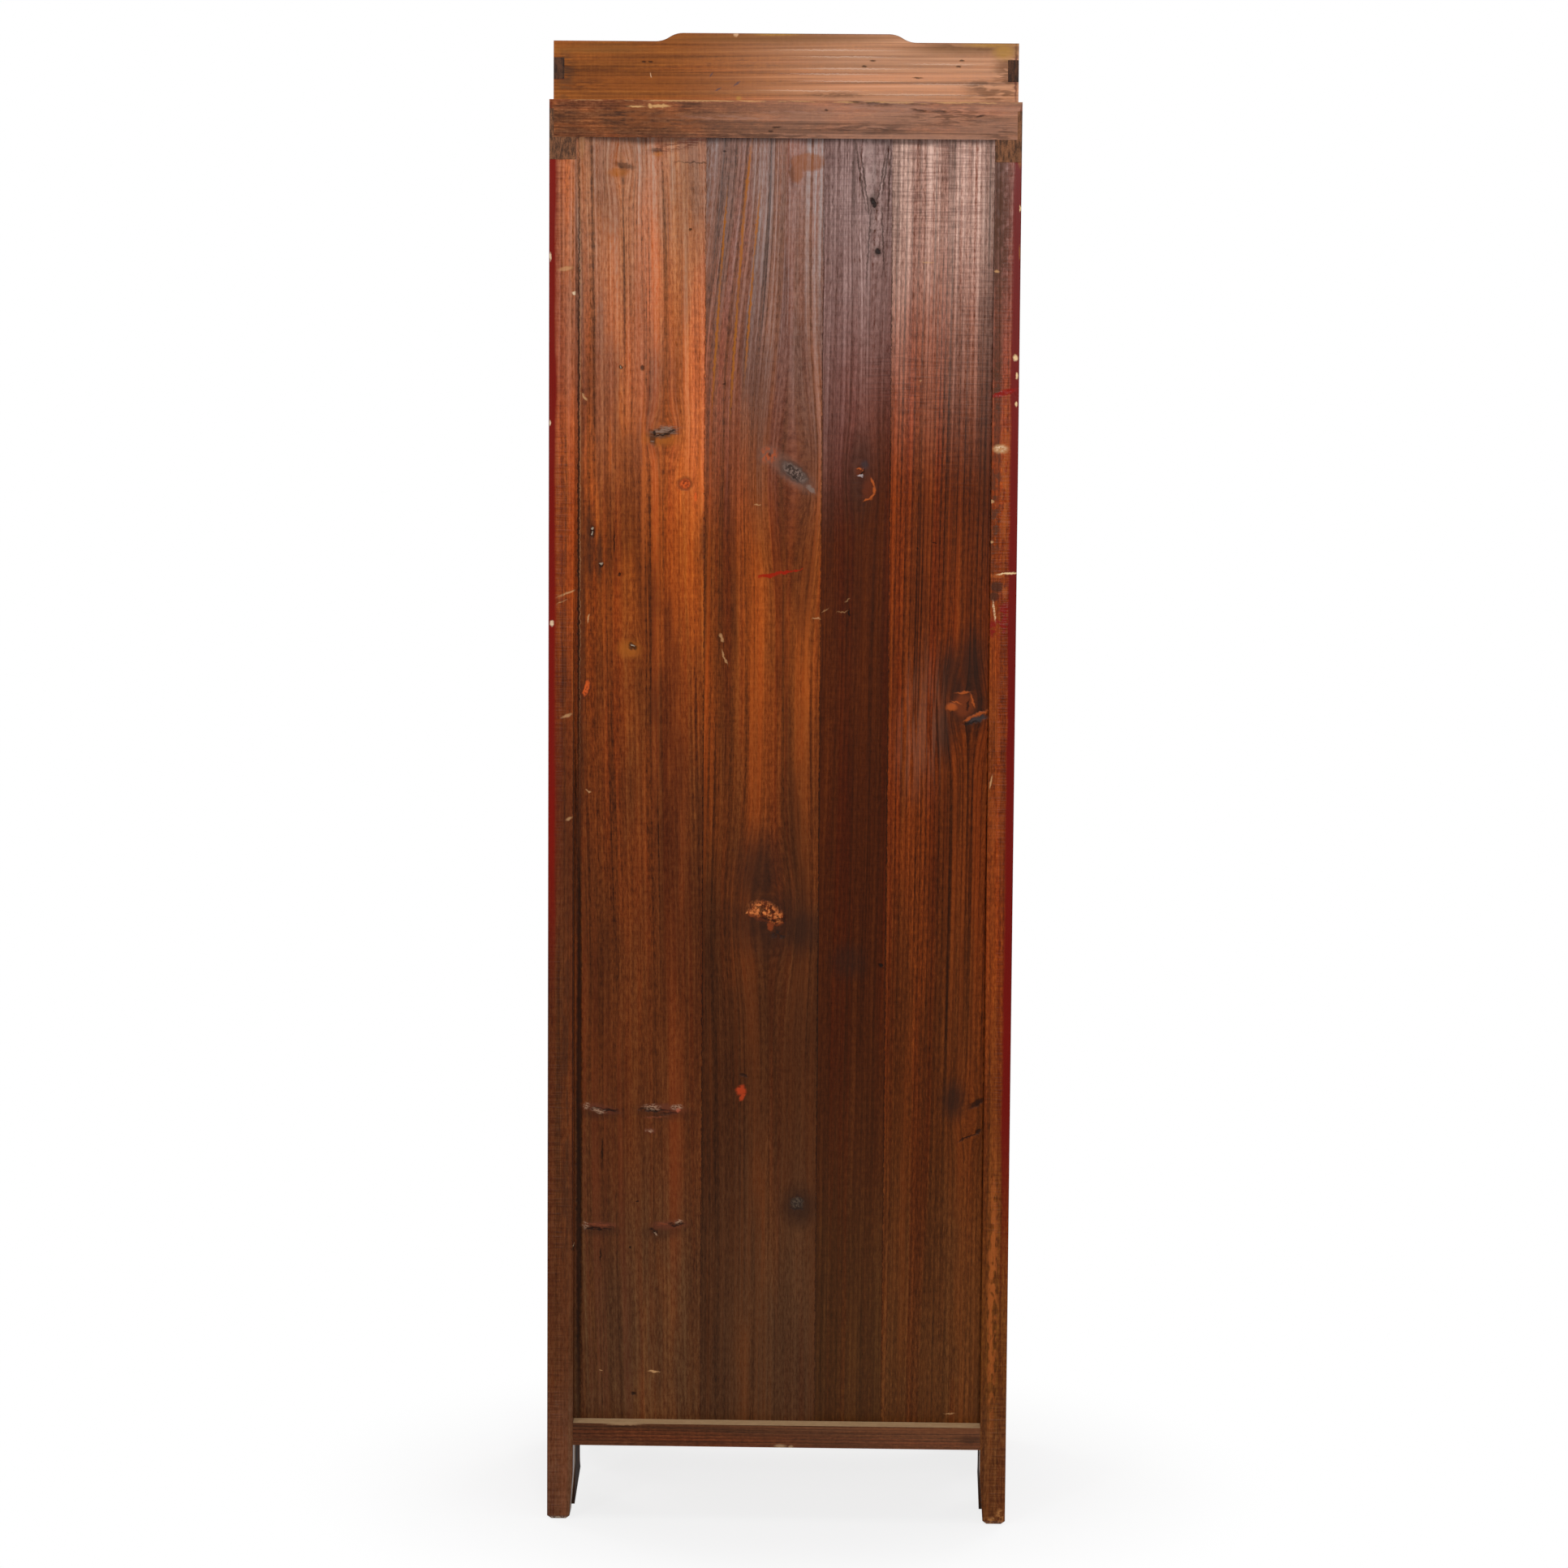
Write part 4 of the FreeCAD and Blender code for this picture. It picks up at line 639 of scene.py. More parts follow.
            mark(tone(176, 84, 34), 0.72, (-207.5, 1021.4, 6.2, 4.6), (-221.5, 1039.2, 8.5, 1.3, -8),
                 (-233.5, 1029, 1.2, 8.5, -18), (-240.5, 1012, 13.5, 2.2, -22), (-228.5, 1006.5, 6, 1.6, -30),
                 (-213.5, 1027, 6, 1, 20), depth=0.8),
            mark(tone(58, 52, 52), 0.85, (-239.5, 1006.5, 11.5, 3.6, -20), soft=0.4, depth=-2.0),
            # cracks, and the small gashes at 510
            mark(nearBlack, 0.8, (-232, 1002, 9.5, 1.1, -14), (-227.5, 1023.5, 1.2, 7, 8),
                 (-243.5, 528.5, 10.5, 3.6, -34), (-246.5, 493.5, 4.2, 2.4, -32), (-234.5, 486, 12.5, 1.1, -26),
                 (-164, 1215, 1.2, 1.2), (-185, 1222, 3, 0.7, 10), depth=-1.6),
            # nicks
            mark(tan, 0.5, (-215, 135, 6, 0.9), (-173, 1562, 8, 0.8, 3), (-165.5, 1419, 1, 1.2)),
        ),
    },
}


def backBoard(name):
    setup = backBoards[name]
    f = Finish("stainedFir_" + name)
    place, axes = boardPlace(f, "z")
    surface = firGrain(f, place, setup["wood"])
    surface = stained(f, surface, place, axes, setup)
    upper = axes[2].rise(*saw["up"]) * f.noise(place, (9, 5, 9), 2.0, 0.6, 2.0).rise(0.35, 0.6)
    share = axes[0].rise(*saw["aside"]) * upper + saw["least"]
    surface = sawn(f, surface, place, share, setup["wood"]["seed"])
    surface = addMarks(f, surface, place, setup["marks"], setup["wood"]["seed"])
    # the other face was never stained, and its knots go through
    inside = {**insideFir, "seed": setup["wood"]["seed"] + 3, "knots": setup["wood"]["knots"]}
    bare = firGrain(f, place, inside)
    back = facing(f)[1].rise(-0.5, 0.5)
    surface = blendSurfaces(f, bare, surface, back)
    return f.close(surface, relief=0.0003, gloss=0.04)


backPieces = {
    "gallery_back": {
        "along": "x",
        "wood": {
            "seed": 27.0, "heart": 1.25, "pith": 0.03, "lean": 0.02, "spacing": 0.0036, "sway": 0.008,
            "wobble": 0.001, "tones": (tone(82, 38, 10), tone(146, 80, 26), tone(182, 108, 42)),
            "rust": tone(166, 84, 24), "rustShare": 0.4, "bands": 0.7, "rings": 0.2, "lines": 1.1, "fibre": 0.6,
            "rough": 0.34, "patches": 0.5, "patchSpread": (42, 2.0, 9),
        },
        "saw": 0.1, "veil": (tone(216, 164, 130), 0.16, -0.14, 0.5),
        "marks": (
            # dulled patches
            mark(tone(96, 58, 30), 0.7, (1790, -268, 28, 16), (1824, -225, 6, 50), (1765, -252, 10, 30),
                 (1783, 266, 30, 9), soft=0.7, streaks=(170, 40, 60)),
            # red that ran in beside the side board
            mark(tone(84, 26, 18), 0.7, (1795, -276.5, 40, 1.4)),
            # the rubbed upper edge
            mark(tone(104, 66, 26), 0.6, (1829.5, 20, 5.5, 140), (1816.5, 235, 6, 60), (1817.5, -225, 7, 70),
                 soft=0.7),
            # dark patches
            mark(darkBrown, 0.45, (1772, 238, 8, 18), (1790, 262, 12, 12), (1762, -60, 3, 30), (1775, -235, 6, 20),
                 soft=0.7, streaks=(420, 60, 60)),
            # small cracks
            mark(nearBlack, 0.75, (1800.4, 171.6, 0.9, 3), (1800.4, 163, 0.9, 3), (1803.1, -104, 1, 3.5),
                 (1796.3, -94.3, 1, 3), (1783.2, -158.8, 0.9, 5.5), (1803.8, -211.3, 1, 3), (1797, -207.5, 1, 3),
                 depth=-1.5),
            # blue grey scratches
            mark(tone(52, 56, 74), 0.6, (1775, 59, 1.2, 4.5, 35), (1768, 81.4, 1, 4, 30), (1785, 90, 0.8, 3, 60)),
            # bare wood on the edge
            mark(tone(176, 128, 56), 0.7, (1835, 12, 2.5, 28), (1824, -245, 4, 30), (1815, -262, 9, 12),
                 (1757, 57, 2.5, 3), soft=0.6),
            # two nicks
            mark(tone(214, 168, 128), 0.85, (1834.5, 60.3, 3.5, 2.8), (1784.5, 163, 3, 0.8, 12), soft=0.4,
                 depth=-1.5),
            # pale lines along the grain
            mark(tone(222, 190, 170), 0.38, (1815.5, -60, 0.8, 60), (1807.5, -75, 0.8, 50), (1793.5, -85, 0.9, 55),
                 (1787, -60, 0.8, 50), (1778.5, -75, 0.8, 50), (1767, -30, 0.7, 50), (1799.5, -190, 0.7, 40),
                 (1775.5, -190, 0.7, 45), (1763, -160, 0.8, 60), soft=0.7, depth=0.8),
        ),
    },
    "rear_top_rail": {
        "along": "x",
        "wood": {
            "seed": 33.0, "heart": 0.95, "pith": 0.03, "lean": -0.012, "spacing": 0.0031, "sway": 0.006,
            "wobble": 0.0012, "tones": (tone(52, 27, 12), tone(108, 62, 34), tone(152, 98, 62)),
            "rust": tone(128, 66, 28), "rustShare": 0.4, "bands": 0.6, "lines": 0.9, "fibre": 1.3, "relief": 1.6,
            "rough": 0.4, "patchSpread": (60, 14, 9), "patches": 0.35,
        },
        "saw": 0.3, "veil": (tone(200, 150, 126), 0.2, -0.1, 0.36),
        "marks": (
            # dark patches
            mark(darkBrown, 0.55, (1733, 268, 18, 20), (1735, 205, 20, 20), (1716, -262, 10, 20), (1737, -200, 12, 50),
                 (1751.5, -120, 3, 50), (1747, 120, 8, 20), (1722, -100, 6, 60), (1713, 50, 4, 100), soft=0.8,
                 streaks=(360, 46, 60)),
            # red at both ends
            mark(tone(84, 22, 14), 0.75, (1728, 283.2, 26, 1.8), (1728, -283.6, 26, 1.2)),
            # the rubbed upper edge
            mark(tone(212, 160, 104), 0.6, (1754.2, 100, 1.1, 170), (1753.8, -150, 1.3, 120),
                 streaks=(400, 45, 60)),
            # amber wood
            mark(tone(146, 80, 38), 0.4, (1737, 185, 14, 30), (1730, 135, 12, 30), soft=0.8, streaks=(300, 50, 60)),
            # pale scratches
            mark(tone(208, 160, 104), 0.8, (1746.9, 180, 1.1, 9), (1747.5, 152, 1.7, 12), (1747.5, 163, 2.8, 2, 30),
                 (1747.8, 148, 2.5, 1.8, -20), depth=0.5),
            # cracks
            mark(nearBlack, 0.7, (1743.7, -48.8, 1.4, 2.2), (1722.9, 10.7, 1.1, 5), (1718, 18, 1, 3),
                 (1752.5, -105, 1.2, 8, 6), (1754.5, -85, 1.1, 6), (1744.5, -160, 1.2, 10, -8),
                 (1743.5, -185, 1, 8), (1738, -235, 1.2, 6, 12), depth=-1.8),
            # old wax
            mark(haze, 0.4, (1748, -130, 8, 60), (1734, 60, 3, 60), (1741, -20, 2, 70), soft=0.6, depth=0.8,
                 streaks=(300, 60, 60)),
        ),
    },
    "rear_bottom_rail": {
        "along": "x",
        "wood": {
            "seed": 39.0, "heart": 0.6, "pith": 0.04, "spacing": 0.004, "sway": 0.006,
            "tones": (tone(48, 26, 14), tone(82, 46, 26), tone(112, 68, 42)), "rust": tone(88, 46, 22),
            "rustShare": 0.3, "bands": 0.5, "rings": 0.4, "rough": 0.55,
        },
        "saw": 0.12, "veil": (tone(150, 110, 84), 0.2, -0.2, 0.1),
        "marks": (
            # dust and bare spots
            mark(tone(160, 126, 92), 0.8, (96.8, -5, 2.2, 6), (96.2, -18, 1.6, 3), (122.5, 190, 1.5, 20), soft=0.6,
                 depth=0.6),
            # dark patches
            mark(darkBrown, 0.5, (108, -240, 6, 12), (100, 100, 2, 60), soft=0.6),
        ),
    },
}


ledgeDust = (tone(162, 126, 90), tone(208, 174, 132))


def backPiece(name):
    # a level piece of the stained back; the marks there are (up, sideways) because its grain lies level
    setup = backPieces[name]
    f = Finish("stainedFir_" + name)
    place, axes = boardPlace(f, setup["along"])
    surface = firGrain(f, place, setup["wood"])
    share = f.noise(place, (12, 9, 12), 2.0, 0.6, 6.0).rise(0.45, 0.6) * setup["saw"]
    surface = sawn(f, surface, place, share, setup["wood"]["seed"])
    # a pale veil, denser where the grain is open: painted sheen growing towards -x, with bloom on the old wax
    tint, start, end, most = setup["veil"]
    streak = 1.0 + (surface["lines"] - 0.5) * 1.6 + (surface["fine"] - 0.5) * 1.2
    glaze(f, surface, tint, axes[0].rise(start, end) * streak * most)
    surface = addMarks(f, surface, place, setup["marks"], setup["wood"]["seed"], 0.0012)
    if name == "gallery_back":
        # the stain of the back ends at the crest's rounded top edge, where the red begins
        coat, rounded = wornLacquer(f, place, 5.0, 0.0018, 0.4)
        upward = f.node("SeparateXYZ", {}, {0: rounded}, output=2)
        back = facing(f)[1].rise(-0.2, 0.2) * upward.rise(0.2, 0.5, 1.0, 0.15)
        surface = blendSurfaces(f, coat, surface, back)
    if name == "rear_bottom_rail":
        heaps = f.noise(place, (200, 90, 200), 3.0, 0.7, 1.0)
        grit = f.noise(place, (500, 300, 500), 3.0, 0.7, 2.0) * 1.6
        dusty = {"colour": f.mix(*ledgeDust, heaps), "rough": surface["rough"] * 0.4 + 0.6, "height": grit}
        surface = blendSurfaces(f, surface, dusty, facing(f)[2].rise(0.5, 0.7))
    return f.close(surface, relief=0.0003, gloss=0.06)


posts = {
    "rear_post_right": {
        "seed": 45.0, "bandTint": tone(124, 17, 5), "band": (0.2765, 0.0025), "fade": (0.62, 0.9), "side": 1,
        "wash": 0.25, "tones": (tone(72, 31, 8), tone(154, 72, 22), tone(194, 102, 40)), "comb": (0.262, 0.272),
        "shades": (((0.32, 0.4, 0.68, 1.0), 1.42, 0.78), ((0.85, 1.1, 1.5, 1.0), 0.6, 0.15),
            ((1.26, 1.28, 1.42, 1.0), 1.22, 1.38), ((0.95, 1.2, 1.9, 1.0), 0.2, 0.04)),
        "veil": (1.2, tone(178, 152, 140), 1.0),
        "marks": (
            # slanting scratches
            mark(tan, 0.6, (265.5, 1551.5, 8.5, 2.5, -10), (261.6, 1158, 14.5, 1.1, -22),
                 (262.8, 1007.2, 6.5, 1.8, -20), (269, 1147, 6, 0.7, -22), (259.5, 880.5, 4, 1.6, -30), depth=-0.6),
            # dark streaks
            mark(darkBrown, 0.4, (268, 1120, 6, 220), (262, 500, 8, 300), soft=0.8, streaks=(200, 26, 60)),
            # cracks
            mark(nearBlack, 0.7, (253.4, 343.2, 1.8, 3), (283.5, 930, 1, 20), (254, 750, 0.8, 500), depth=-1.6),
        ),
        "chips": (
            # pale chips on the edges
            mark(tone(226, 196, 160), 0.85, (254, 1522.3, 2.8, 1.8), (280.8, 1120.6, 2.2, 3.5),
                 (283.4, 1566, 1.2, 5), (283.6, 1365, 1, 3), (250.6, 437.2, 0.8, 4.5), (252.4, 347, 1.2, 1.1),
                 soft=0.4, depth=-0.8),
            # the worn foot
            mark(tone(190, 168, 146), 0.8, (268, 1.2, 15, 2.4), soft=0.6, depth=1.0, streaks=(240, 240, 60)),
        ),
    },
    "rear_post_left": {
        "seed": 52.0, "bandTint": tone(112, 14, 6), "band": (-0.2752, 0.002), "fade": (0.25, 0.55), "side": -1,
        "wash": 0.15, "tones": (tone(46, 20, 6), tone(110, 48, 13), tone(156, 80, 28)), "comb": (-0.262, -0.268),
        "shades": (((0.8, 0.92, 0.95, 1.0), 0.8, 0.2), ((1.0, 1.25, 1.3, 1.0), 0.6, 0.2),
            ((1.4, 1.35, 1.35, 1.0), 1.26, 1.42), ((0.85, 0.95, 1.7, 1.0), 0.2, 0.04)),
        "veil": (0.85, tone(184, 158, 152), 1.0),
        "marks": (
            # dark clouds
            mark(tone(58, 36, 26), 0.6, (-258, 1600, 12, 110), (-259.5, 1440, 6, 120), soft=0.7),
            mark(tone(78, 46, 30), 0.75, (-258.5, 1270, 8.5, 75), (-262, 1600, 12, 100), (-258, 1420, 6, 60),
                 soft=0.7, streaks=(150, 90, 60)),
            # the knot at 1170
            mark(tone(58, 34, 22), 0.8, (-261.2, 1170, 8.5, 6.8), (-258, 1158, 6, 6), soft=0.3),
            # amber streaks
            mark(tone(176, 92, 40), 0.55, (-269.5, 1300, 4.5, 100), (-263, 1183.5, 9, 2.5), (-270.5, 1165, 3, 12),
                 (-266, 300, 6, 160), soft=0.6, streaks=(200, 60, 60)),
            # chips down to pale wood
            mark(tan, 0.75, (-263.7, 1338, 8.8, 5.2), (-253.6, 1273.9, 3, 1.8), (-253.2, 1224.5, 2.8, 1.7),
                 (-256.5, 931, 1, 8, 10), (-258.3, 1138.5, 1.3, 12.5, -8), (-256.5, 1552, 2.8, 1.8), soft=0.4,
                 depth=-0.4),
            mark(tone(226, 190, 154), 0.9, (-263.7, 1338.5, 6.2, 3.4), (-258.3, 1140, 1, 11, -8), depth=0.6,
                 streaks=(300, 420, 60)),
            # amber wood low down
            mark(tone(164, 80, 34), 0.35, (-264, 930, 9, 130), soft=0.8, streaks=(120, 30, 60)),
            # the smear of red at 1132
            mark(tone(126, 26, 20), 0.85, (-268.5, 1132, 11, 22), (-258, 1120, 6, 12), rough=-0.1,
                 streaks=(130, 130, 60)),
        ),
        "chips": (
            # the slanting smear of red at 1405
            mark(tone(136, 24, 16), 0.92, (-266.5, 1405.5, 15.5, 3.3, -18), soft=0.35, rough=-0.1),
            # pale chips on the edges
            mark(tone(236, 200, 150), 0.92, (-274.5, 1186.6, 12.5, 1.1, -4), (-280.2, 1448.1, 2.8, 3.8),
                 (-282.2, 1426.5, 1.3, 3.6), (-281.8, 1392.2, 1.4, 3), (-283.6, 1628, 0.8, 4), soft=0.4,
                 depth=-0.6),
            # amber at the top
            mark(tone(150, 96, 44), 0.6, (-283, 1690, 2.6, 12), (-283.6, 1575, 1, 8)),
            # the worn foot
            mark(tone(176, 118, 66), 0.8, (-269, 4, 14, 4.5), (-279, 12, 5, 7), soft=0.6, depth=1.0,
                 streaks=(200, 200, 60)),
        ),
    },
}


postFir = {
    "heartAside": 0.6,
    "wood": {"spacing": 0.0042, "sway": 0.006, "rust": tone(160, 68, 18), "rustShare": 0.35, "relief": 1.2,
             "patches": 0.45, "calm": (0.3, 1.0, 0.55)},
    # the bare faces in front of the back boards, which lean with them
    "slope": 0.0134, "reach": (0.18, 0.178),
    # the red that laps round: how ragged its line is, how far it washes out, its share over the coat
    "ragged": 0.006, "washOut": 0.016, "bandShare": 0.7, "edge": 0.0022, "wear": 0.3,
}


def rearPost(name):
    setup = posts[name]
    f = Finish("stainedFir_" + name)
    place, axes = boardPlace(f, "z")
    wood = {"seed": setup["seed"], "heart": setup["side"] * postFir["heartAside"], "tones": setup["tones"]}
    surface = firGrain(f, place, {**postFir["wood"], **wood})
    lines = surface["lines"]
    surface = stained(f, surface, place, axes, setup)
    patches = f.noise(place, (14, 4, 14), 2.0, 0.6, 7.0).rise(0.42, 0.58)
    share = patches * 0.5 + axes[0].rise(*setup["comb"]) * 0.6
    surface = sawn(f, surface, place, share, setup["seed"])
    surface = addMarks(f, surface, place, setup["marks"], setup["seed"], 0.001)
    coat, rounded = wornLacquer(f, place, setup["seed"], postFir["edge"], postFir["wear"])
    glaze(f, coat, setup["bandTint"], postFir["bandShare"])
    # the red of the sides laps a little round the post's edge, ragged, and thins out low down
    edge, soft = setup["band"]
    start, end = (edge + soft * sign * setup["side"] for sign in (-1, 1))
    ragged = axes[0] + (f.noise(place, (60, 9, 60), 3.0, 0.6, 9.0) - 0.5) * postFir["ragged"]
    low, high = setup["fade"]
    band = ragged.rise(start, end) * axes[2].rise(low, high, 0.08, 1.0)
    wash = ragged.rise(edge - postFir["washOut"] * setup["side"], edge) * axes[2].rise(low, high) * setup["wash"]
    glaze(f, surface, setup["bandTint"], wash)
    outer = (facing(f)[0] * setup["side"]).rise(0.5, 0.8)
    surface = blendSurfaces(f, surface, coat, band.most(outer))
    surface = addMarks(f, surface, place, setup["chips"], setup["seed"] + 1, 0.0012)
    bare = f.mix(insideFir["tones"][0], insideFir["tones"][2], lines)
    # inside the cupboard the post is bare
    inside = (axes[1] - axes[2] * postFir["slope"]).rise(*postFir["reach"]) * (1.0 - outer)
    surface = blendSurfaces(f, surface, {**surface, "colour": bare, "rough": surface["rough"] + 0.25}, inside)
    return f.close(surface, relief=0.0005, gloss=0.05, normal=rounded)


# the light and dark tones of sawn ends, and the spreads of their rings and pores
endTones = {
    "rail": (tone(64, 40, 26), tone(136, 88, 58)), "gallery": (tone(40, 24, 15), tone(88, 54, 34)),
    "pore": tone(32, 19, 13), "ringSpread": (90, 90, 320), "poreSpread": (700, 700, 700),
}


def endGrain(f, surface, place, seed, tones):
    # the sawn end of a board: short rings and dark open pores
    rings = f.noise(place, endTones["ringSpread"], 3.0, 0.6, seed)
    pores = f.noise(place, endTones["poreSpread"], 2.0, 0.7, seed + 1)
    colour = f.mix(tones[0], tones[1], rings.rise(0.3, 0.7))
    colour = f.mix(colour, endTones["pore"], pores.rise(0.5, 0.7) * 0.6)
    return {"colour": colour, "rough": surface["rough"] * 0.2 + 0.55, "height": pores * 1.2 + rings}


def lacqueredWithEnd(name, along, seed, tones):
    # side rails and gallery sides: lacquer, with their sawn ends showing at the back
    f = Finish(name)
    place = boardPlace(f, along)[0]
    surface, rounded = wornLacquer(f, place, seed)
    end = endGrain(f, surface, place, seed + 6, tones)
    surface = blendSurfaces(f, surface, end, facing(f)[1].rise(0.5, 0.7))
    return f.close(surface, relief=0.0005, gloss=0.15, normal=rounded)


def bracketFinish(name, seed):
    # lacquer on the outside; on the faces towards the middle, bare wood painted dark as painted shade, mottled
    f = Finish(name)
    place, axes = boardPlace(f, "y")
    surface, rounded = wornLacquer(f, place, seed)
    # painted shade on the faces towards the middle, mottled like grime
    grime = f.noise(place, (40, 12, 60), 3.0, 0.6, seed + 3)
    dull = f.mix(tone(34, 22, 16), tone(74, 46, 30), grime.rise(0.35, 0.65))
    shadedInner = {"colour": dull, "rough": surface["rough"] * 0.1 + 0.85, "height": grime}
    outward = facing(f)[0] * axes[0].work("SIGN")
    surface = blendSurfaces(f, shadedInner, surface, outward.rise(0.2, 0.5))
    return f.close(surface, relief=0.0004, gloss=0.12, normal=rounded)


# Brass: dulled, darker in spots, rubbed bright where hands reach

brass = {
    "bright": tone(200, 158, 88), "dull": tone(144, 106, 58), "dark": tone(68, 48, 29),
    "rough": 0.36, "cloud": (90.0, 90.0, 90.0), "spots": (420, 420, 420), "scuff": (1600, 160, 260), "edge": 0.0012,
}


def agedBrass(name, seed):
    f = Finish(name)
    place = f.node("TexCoord", output=3)
    cloud = f.noise(place, brass["cloud"], 3.0, 0.6, seed)
    spots = f.noise(place, brass["spots"], 3.0, 0.7, seed + 3)
    scuff = f.noise(place, brass["scuff"], 2.0, 0.6, seed + 5)
    worn, rounded = edgeWear(f, brass["edge"])
    colour = f.mix(brass["dull"], brass["bright"], cloud.rise(0.35, 0.65))
    colour = f.mix(colour, brass["dark"], spots.rise(0.5, 0.72) * 0.7)
    colour = f.mix(colour, brass["bright"], worn * 0.8)
    rough = brass["rough"] + spots.rise(0.45, 0.75) * 0.25 + (scuff - 0.5) * 0.2 - worn * 0.08
    height = scuff * 0.4 + spots * 0.3
    return f.close({"colour": colour, "rough": rough, "height": height}, relief=0.00015, normal=rounded, metal=1.0)


print("materials")
dress = {}
for name in backBoards:
    dress[name] = backBoard(name)
for name in backPieces:
    dress[name] = backPiece(name)
for name in posts:
    dress[name] = rearPost(name)

for name, finish, seed, end in (
        ("side_top_rail_right", "railLacquerRight", 61.0, "rail"),
        ("side_top_rail_left", "railLacquerLeft", 63.0, "rail"),
        ("gallery_side_right", "galleryLacquerRight", 65.0, "gallery"),
        ("gallery_side_left", "galleryLacquerLeft", 67.0, "gallery")):
    dress[name] = lacqueredWithEnd(finish, "y", seed, endTones[end])

upright = lacquered("lacquerUpright", "z", 71.0)
level = lacquered("lacquerLevel", "x", 73.0)
deepWise = lacquered("lacquerDeep", "y", 75.0)
dress["side_panel_left"] = lacquered("lacquerSidePanelLeft", "z", 77.0, bare=(0, 1))
dress["side_panel_right"] = lacquered("lacquerSidePanelRight", "z", 79.0, bare=(0, -1))
doorUpright = lacquered("lacquerDoorUpright", "z", 81.0, bare=(1, 1))
doorLevel = lacquered("lacquerDoorLevel", "x", 83.0, bare=(1, 1))
doorPanel = lacquered("lacquerDoorPanel", "z", 85.0, bare=(1, 1))
dress["drawer_front"] = bareBoard("lacquerDrawerFront", "x", 87.0, front=(1, -1))
firAcross = bareBoard("bareFirAcross", "x", 91.0)
firDeep = bareBoard("bareFirDeep", "y", 93.0)
brassWork = agedBrass("agedBrass", 2.0)

for name in ("front_post_left", "front_post_right"):
    dress[name] = upright
for name in ("front_top_rail", "front_bottom_rail", "drawer_rail", "front_apron"):
    dress[name] = level
for name in ("side_bottom_rail_left", "side_bottom_rail_right", "top_board"):
    dress[name] = deepWise
dress["side_brackets"] = bracketFinish("bracketLacquer", 69.0)
for hand in ("left", "right"):
    door = f"door_{hand}_"
    for part in ("hinge_stile", "lock_stile"):
        dress[door + part] = doorUpright
    for part in ("top_rail", "bottom_rail", "middle_rail"):
        dress[door + part] = doorLevel
    for part in ("lower_panel", "upper_panel"):
        dress[door + part] = doorPanel
    for part in ("hinge_leaves", "pull_plate", "pull_drop"):
        dress[door + part] = brassWork
for name in ("bottom_board", "cupboard_floor", "shelves", "drawer_back", "drawer_bottom"):
    dress[name] = firAcross
for name in ("side_bearers", "drawer_guides", "drawer_side_left", "drawer_side_right"):
    dress[name] = firDeep
for name in ("frame_hinge_leaves", "hinge_pins", "drawer_bail_mount", "drawer_bail"):
    dress[name] = brassWork

for name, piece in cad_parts.items():
    piece.data.materials.clear()
    piece.data.materials.append(dress[name])
print("dressed", len(dress), "pieces")


# Pieces made here: mouldings round the panels, nails, rims, rounded drops and the bent bail

hands = (("left", -1), ("right", 1))


def addPiece(name, skin, material, body, stands=(), smooth=True):
    # skin: points in mm and the faces between them; stands: the frame's pieces that this one stands for
    points, faces = skin
    mesh = bpy.data.meshes.new(name)
    mesh.from_pydata([tuple(v * mm for v in point) for point in points], [], faces)
    work = bmesh.new()
    work.from_mesh(mesh)
    bmesh.ops.recalc_face_normals(work, faces=work.faces)
    work.to_mesh(mesh)
    work.free()
    for face in mesh.polygons:
        face.use_smooth = smooth
    mesh.materials.append(material)
    piece = bpy.data.objects.new(name, mesh)
    scene.collection.objects.link(piece)
    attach(piece, body)
    if stands:
        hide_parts(*stands)


def joinLists(lists):
    # several pairs of points and faces into one
    points, faces = [], []
    for morePoints, moreFaces in lists:
        start = len(points)
        points += morePoints
        faces += [tuple(start + i for i in face) for face in moreFaces]
    return points, faces


def ringsToSkin(rings, closed=False):
    # quads between rings of the same length, and a cap at each end unless the rings close on themselves
    count = len(rings[0])
    points = [point for ring in rings for point in ring]
    faces = []
    for r in range(len(rings) if closed else len(rings) - 1):
        here, there = r * count, (r + 1) % len(rings) * count
        faces += [(here + i, here + (i + 1) % count, there + (i + 1) % count, there + i) for i in range(count)]
    if not closed:
        faces += [tuple(range(count)), tuple(len(points) - 1 - i for i in range(count))]
    return points, faces


def circle(count):
    # the angles of a round with this many corners
    return [2 * math.pi * i / count for i in range(count)]


def bentRod(path, thickness, sides=14):
    # a round rod along a path that lies in an upright plane across the front
    rings = []
    for number, (x, y, z) in enumerate(path):
        before, after = path[max(number - 1, 0)], path[min(number + 1, len(path) - 1)]
        aim = Vector((after[0] - before[0], 0, after[2] - before[2])).normalized()
        aside = Vector((aim.z, 0, -aim.x))
        radius = thickness(number / (len(path) - 1))
        ring = []
        for angle in circle(sides):
            out = aside * (math.cos(angle) * radius)
            ring.append((x + out.x, y + math.sin(angle) * radius, z + out.z))
        rings.append(ring)
    return ringsToSkin(rings)


def bend(centre, radius, start, end, y, steps=7):
    # an arc in an upright plane across the front, from one angle in degrees to another
    angles = [math.radians(start + (end - start) * i / (steps - 1)) for i in range(steps)]
    return [(centre[0] + radius * math.cos(a), y, centre[1] + radius * math.sin(a)) for a in angles]


panelBead = {
    "profile": ((0, 0), (0, 2.2), (0.8, 3.0), (2.2, 3.4), (3.8, 3.0), (4.6, 2.0), (5.0, 0.0)),
    "doorFace": -206.0, "doorAcross": (213.8, 39.0), "doorUp": ((308.2, 769.1), (807.1, 1670.8)),
    "sideFace": 279.0, "sideLow": (-165.0, 123.0), "sideHigh": (165.0, 1683.0), "sideScale": 1.4,
}


